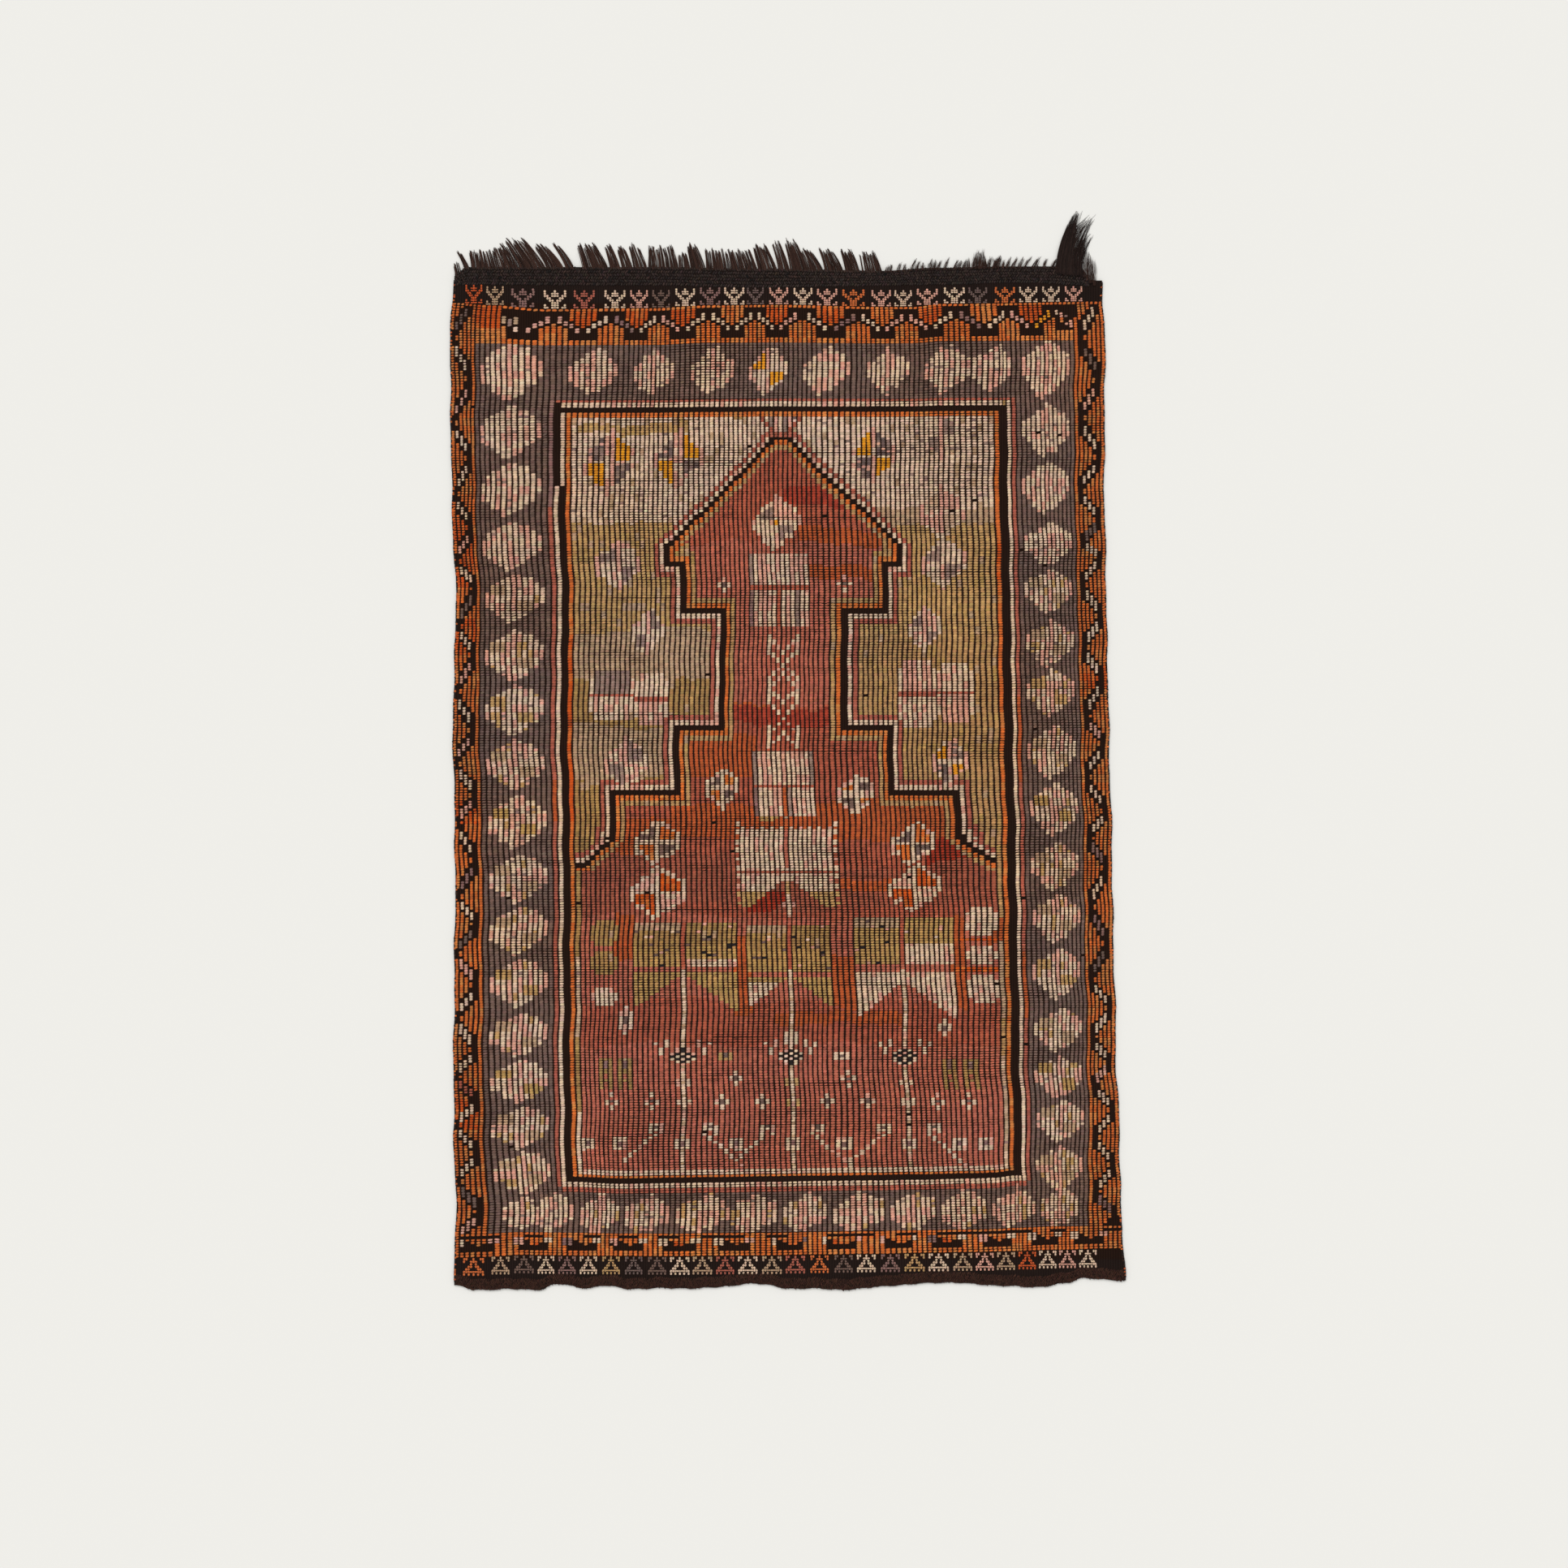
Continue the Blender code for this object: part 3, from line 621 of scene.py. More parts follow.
def paint_tree_block(chart, stem, left, right, top, line, foot):
    """A tree's olive block, and the wedge under it that is cut away from its foot towards the stem."""
    away = np.abs(chart.column - stem - 0.5)
    span = (chart.column > stem - left) & (chart.column < stem + right + 1)
    block = span & chart.box(0, COLUMNS, line + 1, top)
    chart.paint("gold" if stem == RIGHT_TREE else "olive", block)
    chart.paint("gold", span & chart.box(0, COLUMNS, line + 1, line + 9))
    chart.paint("drab", block & (chart.level > top - 4) & (chart.column < stem))
    stray = chart.chance.random(chart.row.shape)
    for yarn, least in (("black", 0.965), ("pink", 0.95), ("grey", 0.925)):
        chart.paint(yarn, block & (stray > least) & (stray < least + 0.03))
    chart.blocks("niche red", (stem, stem + 1, line + 1, top))
    wedge = span & (chart.level < line - 1) & (chart.level > foot + (left - away) * 1.45)
    chart.paint("cream" if stem == RIGHT_TREE else "gold", wedge)
    low_left = (chart.column < stem) & (chart.level < line - 3)
    chart.paint("gold" if stem == LEFT_TREE else "cream", wedge & low_left)


def paint_tree(chart, stem):
    """A tree's stem, with its star, hooks, drooping branches and flowers."""
    chart.blocks("cream", (stem, stem + 1, 32, 111))
    chart.cells("drab", stem, 0, [(0, level) for level in np.arange(36, 108, 5.3)], 1.2)
    for across in range(-2, 3):
        for up in range(-2, 3):
            if abs(across) + abs(up) < 4:
                chart.cell("cream" if (across + up) % 2 else "black", stem + across, STAR_LEVEL + 1.2 * up, 1.2)
    for side in (-1, 1):
        hook = ((0, 0), (0, 1.4), (-side, 2.8), (-side, 4.2), (side, 3.4))
        chart.cells("cream", stem + 4 * side, HOOK_LEVEL, hook, 1.5)
        chart.cells("straw" if stem == MIDDLE_TREE else "cream", stem + side, 0, ((0, 67.5), (0, 60)), 2.6)
        branch = [(side * (4 + number) - (side < 0), -1.75 * number) for number in range(8 if side > 0 else 7)]
        chart.cells("cream", stem, BRANCH_LEVEL, branch, 1.7)
    paint_flower(chart, stem)
    paint_flower(chart, stem + 10)
    for start in (stem - 6, stem + 4):
        chart.blocks("cream", (start, start + 3, 47.5, 51.5))
        chart.cell("grey", start + 1, 50.5, 1.2)
        chart.cell("rose", start + 1, 48.2, 1.4)


def paint_flower(chart, column):
    """A three-column block with a dark heart."""
    chart.blocks("cream", (column - 1, column + 2, FLOWER_LEVEL - 2.4, FLOWER_LEVEL + 2.2))
    chart.cell("mauve", column, FLOWER_LEVEL)


def paint_lower_field(chart):
    """The three trees of the lower field, with their stars, hooks, crosses and dashes."""
    for tree in TREES:
        paint_tree_block(chart, *tree)
    chart.blocks("cream", (88, 98, 112.5, 121), (45, 55, 112, 115))
    for column, wide, low, high, yarn in (
        (26, 6, 120, 130, "olive"), (26, 6, 109, 118.5, "olive"), (26, 6, 97, 104.5, "cream"),
        (32, 3, 86, 97, "cream"), (100, 6, 124, 135, "cream"), (100, 6, 112.5, 120.5, "cream"),
        (100, 6, 98, 109.5, "cream"), (94, 3, 85, 92, "cream"),
    ):
        chart.blocks(yarn, (column + 1, column + wide - 1, low, high), (column, column + wide, low + 2, high - 2))
        chart.cell("grey", column + wide / 2 - 0.5, (low + high) / 2, 2.4)
    chart.blocks("red orange", (98, 106, 121.5, 123.5), (98, 106, 110, 112))
    for stem, *_ in TREES:
        paint_tree(chart, stem)
    for column in (25, 32, 97, 102):
        paint_flower(chart, column)
    for column in (30, 38, 51, 59, 72, 79, 93, 99):
        paint_cross(chart, column, 60.2)
    paint_cross(chart, 54, 69)
    paint_cross(chart, 76, 69)
    for column in (28, 32, 95, 99):
        chart.blocks("olive", (column, column + 3, 65, 76.5))
        chart.blocks("rose", (column + 1, column + 2, 65, 67.5))
        chart.blocks("mauve", (column + 1, column + 2, 72.5, 76))
        chart.cell("rose", column + 1, 70)
    chart.blocks("cream", (64, 67, 82, 87))
    for column, yarn in ((52, "straw"), (75, "cream")):
        chart.blocks(yarn, (column - 1, column + 2, 76, 79.5))
        chart.cell("grey", column, 78, 1.2)


def paint_spandrels(chart):
    """The hexagons and blocks on the beige and olive ground outside the niche, and its crown."""
    for shape in (
        (30, 306.5, 4.9, 12.5, "yellow", "slate"), (44, 307.5, 4.9, 11.5, "yellow", "slate"),
        (83.5, 308.5, 4.5, 11.5, "slate", "yellow"), (98.5, 191, 3.5, 9, "slate", "yellow"),
        (97.5, 316.5, 3.6, 9, "pale grey", "cream"), (97.5, 287, 4.5, 10.5, "pink", "beige"),
        (97.5, 267.5, 4.5, 9.5, "cream", "pale grey"), (93.5, 242, 3.6, 8.5, "pink", "pale grey"),
        (31.5, 267, 4.5, 9.5, "cream", "pale grey"), (37.5, 241, 3.6, 9, "pale grey", "cream"),
        (33.5, 190.5, 4.5, 10, "pale grey", "pink"),
    ):
        chart.hexagon(quartered(*shape), inset=1.4, sides=POINTED)
    for left, right, low, high, upper, lower in (
        (88, 96, 204, 230, "pink", "cream"), (96, 103, 206, 229, "cream", "pink"),
        (35, 42, 205, 225, "cream", "pink"), (26, 35, 207, 226, "pale grey", "cream"),
    ):
        middle = (low + high) / 2
        body = chart.box(left + 1, right - 1, low, high) | chart.box(left, right, low + 3, high - 3)
        chart.paint(upper, body & (chart.level > middle))
        chart.paint(lower, body & (chart.level < middle))
        chart.paint("cream", body & (np.abs(chart.column - (left + right) / 2) > (right - left) / 2 - 1.2))
        chart.blocks("frame rose", (left, right, middle - 0.7, middle + 0.7))
    for level in range(316, 326):
        reach = 1 + 4.2 * abs(level + 0.5 - 320.5) / 5
        chart.blocks("rose" if level < 321 else "grey", (65.5 - reach, 65.5 + reach, level, level + 1))
    chart.stripes("pink pale_grey pink cream pale_grey pink", 62, 317.5, 323.5)
    for step in range(4):
        chart.cells("old rose", 65, 322.6 - 1.9 * step, ((step - 4, 0), (4 - step, 0)))


def paint_frame(chart):
    """The straight lines round the field and the grey band outside them, with its hexagons."""
    row, column = chart.row, chart.column
    sides = (column < FIELD_LEFT) | (column > FIELD_RIGHT) | (row < FIELD_FOOT) | (row > FIELD_HEAD + 0.3)
    chart.paint("grey", sides & (row > FOOT_BAND) & (row < HEAD_BAND))
    middle = (row > FIELD_FOOT - 0.5) & (row < FIELD_HEAD + 0.5)
    for left, right, low, high, yarn in (
        (19, 20, 26, 289, "frame rose"), (19, 20, 168, 184, "brick"), (19, 20, 289, 331, "mauve"),
        (20, 21, 28, 297, "cream"), (21, 22, 29, 297, "bare"), (20, 21, 297, 330, "bare"),
        (21, 22, 297, 329, "cream"), (22, 23, 31, 183, "orange"), (22, 23, 168, 238, "red orange"),
        (22, 23, 238, 326, "orange"), (107, 108, 31, 326, "orange"), (107, 108, 258, 275, "red orange"),
        (108, 110, 29, 328, "bare"), (110, 111, 28, 330, "cream"), (111, 112, 26, 332, "frame rose"),
        (111, 112, 183, 216, "brick"), (111, 112, 92, 118, "brick"), (23, 24, 33, 56, "cream"),
        (23, 24, 56, 85, "olive"), (23, 24, 85, 116, "beige"), (23, 24, 116, 149, "olive"),
        (106, 107, 33, 78, "beige"), (106, 107, 78, 92, "tan"), (106, 107, 92, 122, "drab"),
        (106, 107, 131, 160, "tan"),
    ):
        chart.paint(yarn, middle & chart.box(left, right, low, high))
    for left, right, low, high, yarn in (
        (20, 111, 25.4, 27.2, "frame rose"), (20, 111, 27.2, 29.2, "cream"), (21, 109, 29.2, 30.8, "bare"),
        (22, 108, 30.8, 32.4, "orange"), (23, 107, 32.4, 34, "cream"), (22, 108, 324.4, 326, "orange"),
        (21, 109, 326, 328, "bare"), (21, 109, 328, 330, "cream"), (20, 111, 330, 331.4, "frame rose"),
    ):
        chart.blocks(yarn, (left, right, low, high), level=row)
    for heart, rows in ((12, LEFT_HEXAGON_ROWS), (118, RIGHT_HEXAGON_ROWS)):
        for number, centre in enumerate(rows):
            room = min(abs(centre - other) for other in rows if other != centre)
            chart.hexagon(plain(heart + 0.5, centre, 5, min(10.0, 0.44 * room)))
            if centre < 262:
                tint = ("straw", "drab", "gold", "drab", "drab")[number % 5]
                chart.blocks(tint, (heart - 4, heart - 1, centre + 0.8, centre + 4.6),
                             (heart + 1, heart + 4, centre - 5, centre - 0.8))
    for centre in HEAD_HEXAGON_COLUMNS:
        chart.hexagon(plain(centre, 341.7, 4, 8.4), row=row)
    chart.hexagon(quartered(62.5, 341.7, 4, 8.4, "cream", "yellow"), row=row, inset=1.5)
    for centre in (12.5, 118.5):
        chart.hexagon(plain(centre, 342, 5, 10.3), row=row)
    for number, centre in enumerate(FOOT_HEXAGON_COLUMNS):
        chart.hexagon(plain(centre, 16.6, (3.4, 4, 4.7)[min(number, 2)], 7.3 if number else 6.2), row=row)


def paint_zigzag(chart, turns, chain, lanes, red):
    """A border beside a plain column: triangles from both sides, and a chain of stitches between them."""
    border = chart.box(min(lanes), max(lanes) + 1, FOOT_BAND, ROWS - 1, chart.row)
    chart.paint("bare", border)
    reaches = REACH_FROM_INNER, REACH_FROM_SELVEDGE if len(lanes) > 5 else NARROW_FROM_SELVEDGE
    befores, afters = (turns[0] + 14, *turns), (*turns[1:], turns[-1] - 12)
    for number, (before, turn, after) in enumerate(zip(befores, turns, afters)):
        for lane, share in zip(lanes, reaches[number % 2]):
            sides = lane, lane + 1, turn - share * (turn - after), turn + share * (before - turn)
            chart.blocks("orange", sides, level=chart.row)
    for low, high in red:
        chart.paint("red orange", border & (chart.row > low) & (chart.row < high) & chart.has("orange"))
    for number, (turn, after, yarn) in enumerate(zip(turns, turns[1:], chain.split())):
        for place in (1, 2, 3):
            share = 0.17 + 0.165 * (place if number % 2 else 4 - place)
            middle = turn + (after - turn) * share
            chart.blocks(yarn, (lanes[place], lanes[place] + 1, middle - 1.6, middle + 1.6), level=chart.row)


def nearest(chart, troughs):
    """For each stitch how far the nearest trough is, which one it is, and whether the stitch lies left of it."""
    away = np.abs(chart.column[None] - 0.5 - np.array(troughs)[:, None, None])
    number = np.argmin(away, axis=0)
    return away.min(axis=0), number, chart.column - 0.5 < np.array(troughs)[number]


def paint_chain(chart, where, number, left):
    """A garland's stitches, each side of each trough in its own yarn."""
    turn = (2 * number + left) % len(CHAIN_YARNS)
    for which, yarn in enumerate(CHAIN_YARNS):
        chart.paint(yarn, where & (turn == which))


def paint_head_border(chart):
    """Orange teeth that hang from the head's edge, blocks that rise between them, and a garland of stitches."""
    up = chart.row - TEETH_ROW
    band = (up > 0) & (chart.column > 5)
    away, number, left = nearest(chart, HEAD_TROUGHS)
    chart.paint("bare", band)
    chart.paint("orange", band & (up < 1.7))
    tooth = band & (away < 2.6) & (up > 6.6 + 1.3 * away) & (number > 0)
    chart.paint("orange", tooth)
    chart.paint("red orange", tooth & np.isin(number, (1, 2, 3, 5, 6, 8, 10)))
    chart.paint("orange", band & (away > 2.4) & (up < 8.4 - 1.1 * np.maximum(5 - away, 0)))
    chain = band & (away > 0.5) & (away < 4.6) & (np.abs(up - 4.4 - 1.45 * np.round(away)) < 1.05)
    paint_chain(chart, chain, number, left)
    chart.paint("yellow", chain & (number == 10) & ~left)
    chart.paint("orange", up > 13.2)
    for yarn, *side in (
        ("red orange", 4, 11, 5.7, 20), ("pale orange", 4, 11, 0, 5.7), ("drab", 11, 12, 8, 10.6),
        ("pale grey", 12, 13, 7, 9.4), ("drab", 13, 14, 8, 10.5), ("bare", 121, 125, 3.7, 11),
        ("pale orange", 121, 125, 0, 3.7), ("cream", 121, 122, 9.8, 11.3), ("pink", 122, 123, 8.3, 11),
        ("orange", 122, 123, 7, 8.3), ("mauve", 123, 124, 8.3, 9.6), ("pink", 123, 124, 5.6, 7),
        ("pink", 124, 125, 4.5, 8),
    ):
        chart.blocks(yarn, side, level=up)


def paint_foot_border(chart):
    """Dark boats with a hanging tooth in each, between orange blocks with pale stitches at their corners."""
    up = chart.row
    band = (up < FOOT_BAND) & (chart.column > 1)
    away, number, left = nearest(chart, FOOT_TROUGHS)
    chart.paint("orange", up < FOOT_BAND)
    boat = band & (up > 1.8) & (up < np.where(left, 6.4, 5.4)) & (away < 2.8)
    chart.paint("bare", boat & ((up < 4) | (away > 1.2) | (left & (away > 0.2) & (up < 5))))
    chart.paint("red orange", boat & (away < 1.3) & (up > 4) & np.isin(number, (1, 4, 7, 9)))
    chain = band & (away > 2.2) & (away < 3.6) & (up < 6.8) & (up > np.where(left, 3.6, 5.2))
    paint_chain(chart, chain, number, left)
    runs = np.repeat(chart.chance.random((ROWS, COLUMNS // 4 + 1)), 4, axis=1)[:, :COLUMNS]
    chart.paint("bare", (np.abs(up - 7.3) < 0.35) & band & (runs < 0.6))


def mottle(chart):
    """The dyers' unevenness: pink among the cream in runs down a column, and stray grey stitches."""
    runs = np.repeat(chart.chance.random((ROWS // 3 + 1, COLUMNS)), 3, axis=0)[:ROWS]
    stray = chart.chance.random(chart.row.shape)
    column, row = chart.column, chart.row
    field = (column > FIELD_LEFT) & (column < FIELD_RIGHT) & (row < FIELD_HEAD) & (row > FIELD_FOOT)
    band = ~field & (column > 6) & (column < BORDER_RIGHT) & (row > FOOT_BAND) & (row < HEAD_BAND)
    cream, pink = chart.has("cream"), chart.has("pink")
    beige, tan = field & chart.has("beige", "ivory"), field & chart.has("tan", "straw", "olive")
    slate, orange, red = chart.has("slate"), chart.has("orange"), chart.has("red orange")
    for yarn, where in (
        ("pink", cream & band & (runs < 0.3)), ("cream", pink & band & (runs < 0.35)),
        ("straw", cream & band & (row < 262) & (runs > 0.88)),
        ("pale grey", (cream | pink) & band & (stray < 0.03)),
        ("pink", cream & field & (column > 24) & (column < 106) & (runs < 0.16)),
        ("cream", pink & field & (runs < 0.2)), ("drab", beige & (runs < 0.09)),
        ("cream", beige & (runs > 0.9)), ("pale grey", beige & (stray < 0.03)), ("drab", tan & (runs < 0.05)),
        ("gold", tan & (runs > 0.9)), ("pale grey", slate & (runs < 0.4)), ("pink", slate & (stray < 0.1)),
        ("pale orange", orange & (runs < 0.3)), ("orange", red & (runs < 0.2)),
    ):
        chart.paint(yarn, where)


def woven_chart():
    """The whole chart, from the field out to the borders."""
    chart = Chart()
    for paint in (paint_grounds, paint_niche, paint_lower_field, paint_spandrels, paint_frame, paint_head_border):
        paint(chart)
    paint_zigzag(chart, LEFT_TURNS, LEFT_CHAIN, LEFT_LANES, LEFT_RED)
    paint_zigzag(chart, RIGHT_TURNS, RIGHT_CHAIN, RIGHT_LANES, RIGHT_RED)
    chart.blocks("orange", (5, 6, FOOT_BAND, 362), (125, 126, FOOT_BAND, HEAD_BAND), level=chart.row)
    paint_foot_border(chart)
    mottle(chart)
    return chart


def linear(color):
    """A yarn's 8-bit colour as linear light."""
    share = np.asarray(color, float) / 255
    return np.where(share <= 0.04045, share / 12.92, ((share + 0.055) / 1.055) ** 2.4)


def maths(operation, reflected=False):
    """A method of Wire that adds one Math node."""

    def method(self, other=0.0):
        first, second = (other, self) if reflected else (self, other)
        return self.nodes.node("ShaderNodeMath", {"operation": operation}, {0: first, 1: second})

    return method


class Wire:
    """A node's output that takes part in sums, so that node maths reads as written."""

    def __init__(self, nodes, socket):
        self.nodes, self.socket = nodes, socket

    def other(self, name):
        return Wire(self.nodes, self.socket.node.outputs[name])

    __add__, __radd__ = maths("ADD"), maths("ADD", reflected=True)
    __sub__, __rsub__ = maths("SUBTRACT"), maths("SUBTRACT", reflected=True)
    __mul__, __rmul__ = maths("MULTIPLY"), maths("MULTIPLY", reflected=True)
    least, size, wave = maths("MINIMUM"), maths("ABSOLUTE"), maths("SINE")


class Nodes:
    """A node tree, with one way to add a node."""

    def __init__(self, tree):
        self.tree = tree

    def node(self, kind, settings=None, sockets=None, out=0):
        made = self.tree.nodes.new(kind)
        for name, value in (settings or {}).items():
            setattr(made, name, value)
        for name, value in (sockets or {}).items():
            if isinstance(value, Wire):
                self.tree.links.new(value.socket, made.inputs[name])
            else:
                made.inputs[name].default_value = value
        return Wire(self, made.outputs[out]) if made.outputs else made

    def noise(self, place, scale, detail, roughness=0.5):
        sockets = {"Vector": place, "Scale": scale, "Detail": detail, "Roughness": roughness}
        return self.node("ShaderNodeTexNoise", {}, sockets)

    def place(self):
        """The rug's own place of each point of a surface."""
        return self.node("ShaderNodeTexCoord", out="Object")

    def stored(self, name, kind="FLOAT"):
        """A value that each point of the mesh carries."""
        return self.node("GeometryNodeInputNamedAttribute", {"data_type": kind}, {"Name": name})


def grow_tree(name, inputs, build):
    """A geometry tree with named inputs, whose pieces are realised and given their material; made once."""
    if name in bpy.data.node_groups:
        return bpy.data.node_groups[name]
    tree = bpy.data.node_groups.new(name, "GeometryNodeTree")
    tree.interface.new_socket("Geometry", in_out="INPUT", socket_type="NodeSocketGeometry")
    for label, (kind, value) in inputs.items():
        tree.interface.new_socket(label, in_out="INPUT", socket_type=kind).default_value = value
    tree.interface.new_socket("Material", in_out="INPUT", socket_type="NodeSocketMaterial")
    tree.interface.new_socket("Geometry", in_out="OUTPUT", socket_type="NodeSocketGeometry")
    nodes, entry = Nodes(tree), tree.nodes.new("NodeGroupInput")

    def read(label):
        return Wire(nodes, entry.outputs[label])

    whole = nodes.node("GeometryNodeRealizeInstances", {}, {"Geometry": build(nodes, read)})
    shaded = nodes.node("GeometryNodeSetShadeSmooth", {}, {"Geometry": whole, "Shade Smooth": True})
    named = nodes.node("GeometryNodeSetMaterial", {}, {"Geometry": shaded, "Material": read("Material")})
    nodes.node("NodeGroupOutput", {}, {"Geometry": named})
    return tree


STITCH_INPUTS = {
    "Stitch Fullness": ("NodeSocketFloat", 0.6), "End Dip": ("NodeSocketFloat", 0.5),
    "End Taper": ("NodeSocketFloat", 0.14), "Corner Rounding": ("NodeSocketFloat", 0.32),
    "Thread Slant": ("NodeSocketFloat", 0.1), "Loose Turn": ("NodeSocketFloat", 0.04),
    "Seed": ("NodeSocketInt", 3),
}
# The grid that one stitch is shaped from, across it and along it.
STITCH_ACROSS, STITCH_ALONG = 4, 3


def lay_on_points(nodes, read):
    """Lays one domed stitch on every point, at the point's own size and turn."""
    grid = {"Size X": 1.0, "Size Y": 1.0, "Vertices X": STITCH_ACROSS, "Vertices Y": STITCH_ALONG}
    across = nodes.node("ShaderNodeSeparateXYZ", {}, {0: nodes.node("GeometryNodeInputPosition")})
    along = across.other("Y")
    crown, end = 1 - 4 * across * across, 4 * along * along
    wide = across * (1 + read("Stitch Fullness") * crown) * (1 - read("End Taper") * end)
    full = (crown * 1.2).least(1.0)
    high = full * (1 - read("End Dip") * end) - 0.04
    deep = along * (1 - read("Corner Rounding") * (1 - crown)) + read("Thread Slant") * across
    shape = nodes.node("ShaderNodeCombineXYZ", {}, {"X": wide, "Y": deep, "Z": high})
    domed = nodes.node("GeometryNodeSetPosition", {},
                       {"Geometry": nodes.node("GeometryNodeMeshGrid", {}, grid), "Position": shape})
    marked = nodes.node("GeometryNodeStoreNamedAttribute", {"data_type": "FLOAT", "domain": "POINT"},
                        {"Geometry": domed, "Name": "crown", "Value": full * (1 - 0.45 * end)})
    span = {2: -1.0, 3: 1.0, "Seed": read("Seed")}
    loose = nodes.node("FunctionNodeRandomValue", {"data_type": "FLOAT"}, span, 1)
    spin = nodes.node("ShaderNodeCombineXYZ", {}, {"Z": nodes.stored("turn") + loose * read("Loose Turn")})
    size = nodes.stored("size", "FLOAT_VECTOR")
    return nodes.node("GeometryNodeInstanceOnPoints", {},
                      {"Points": read("Geometry"), "Instance": marked, "Rotation": spin, "Scale": size})


def spin_lines(nodes, read):
    """Turns each drawn line into a thin tapering strand."""
    lines = nodes.node("GeometryNodeMeshToCurve", {}, {"Mesh": read("Geometry")})
    ring = nodes.node("GeometryNodeCurvePrimitiveCircle", {}, {"Resolution": read("Sides"), "Radius": 1.0})
    sockets = {"Curve": lines, "Profile Curve": ring, "Scale": nodes.stored("size"), "Fill Caps": True}
    return nodes.node("GeometryNodeCurveToMesh", {}, sockets)


def grown(name, mesh, tree, inputs):
    """Runs a geometry tree on a mesh and keeps the result as a plain piece."""
    piece = bpy.data.objects.new(name, mesh)
    bpy.context.scene.collection.objects.link(piece)
    modifier = piece.modifiers.new("Making", "NODES")
    modifier.node_group = tree
    for item in tree.interface.items_tree:
        if item.item_type == "SOCKET" and item.in_out == "INPUT" and item.name in inputs:
            modifier[item.identifier] = inputs[item.name]
    bpy.context.view_layer.update()
    evaluated = piece.evaluated_get(bpy.context.evaluated_depsgraph_get())
    result = bpy.data.meshes.new_from_object(evaluated)
    result.name = name
    piece.modifiers.clear()
    piece.data = result
    bpy.data.meshes.remove(mesh)
    return piece


def store(mesh, name, kind, field, values):
    """Gives each point of a mesh its own value."""
    made = mesh.attributes.new(name, kind, "POINT")
    made.data.foreach_set(field, np.ascontiguousarray(values, np.float32).ravel())


def settle(piece, slot, *nodes):
    """Puts a finished piece on the rug's one body, with its finish and the solids that it stands for."""
    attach(piece, "root")
    for node in nodes:
        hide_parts(node)
    return piece


Stitches = namedtuple("Stitches", "place size turn color")


def lay_stitches(name, stitches, material, fullness=0.6, dip=0.5, taper=0.14, loose=0.04, slant=0.0):
    """A piece of one stitch for each row of the arrays."""
    mesh = bpy.data.meshes.new(name + " points")
    count = len(stitches.place)
    mesh.vertices.add(count)
    mesh.vertices.foreach_set("co", np.ascontiguousarray(stitches.place, np.float32).ravel())
    store(mesh, "size", "FLOAT_VECTOR", "vector", stitches.size)
    store(mesh, "turn", "FLOAT", "value", stitches.turn)
    store(mesh, "yarn", "FLOAT_COLOR", "color", np.hstack([stitches.color, np.ones((count, 1))]))
    tree = grow_tree("Laid stitches", STITCH_INPUTS, lay_on_points)
    piece = grown(name, mesh, tree, {
        "Stitch Fullness": fullness, "End Dip": dip, "End Taper": taper, "Thread Slant": slant,
        "Loose Turn": loose, "Material": material,
    })
    for label in ("size", "turn"):
        if label in piece.data.attributes:
            piece.data.attributes.remove(piece.data.attributes[label])
    return piece


def new_material(name, constants):
    """A material and its nodes, with constants set on its surface."""
    made = bpy.data.materials.new(name)
    made.use_nodes = True
    for label, value in constants.items():
        made.node_tree.nodes["Principled BSDF"].inputs[label].default_value = value
    return made, Nodes(made.node_tree)


def finish_material(made, nodes, color, relief=None):
    """Leads a colour, and a relief of strength, depth and height, to the material's surface."""
    inputs = made.node_tree.nodes["Principled BSDF"].inputs
    made.node_tree.links.new(color.socket, inputs["Base Color"])
    if relief:
        bump = nodes.node("ShaderNodeBump", {}, dict(zip(("Strength", "Distance", "Height"), relief)))
        made.node_tree.links.new(bump.socket, inputs["Normal"])
    return made


def shaded_dye(nodes, light):
    """The yarn's own dye, darkened by a pattern."""
    dye = nodes.node("ShaderNodeAttribute", {"attribute_name": "yarn"}, out="Color")
    shade = nodes.node("ShaderNodeCombineColor", {}, {"Red": light, "Green": light, "Blue": light})
    settings = {"data_type": "RGBA", "blend_type": "MULTIPLY"}
    return nodes.node("ShaderNodeMix", settings, {"Factor": 1.0, 6: dye, 7: shade}, 2)


PLY_PITCH, RIB_PITCH, WEFT_PITCH = 1.8 * MM, 3.4 * MM, 1.1 * MM
# How fine each noise is: in the yarns, in the ground's fluff and its broad shades, and in the hair.
FIBRES, PATCHES, PLY_WANDER, FLUFF, BROAD_SHADES, HAIRS = 1500.0, 220.0, 300.0, 900.0, 30.0, 400.0


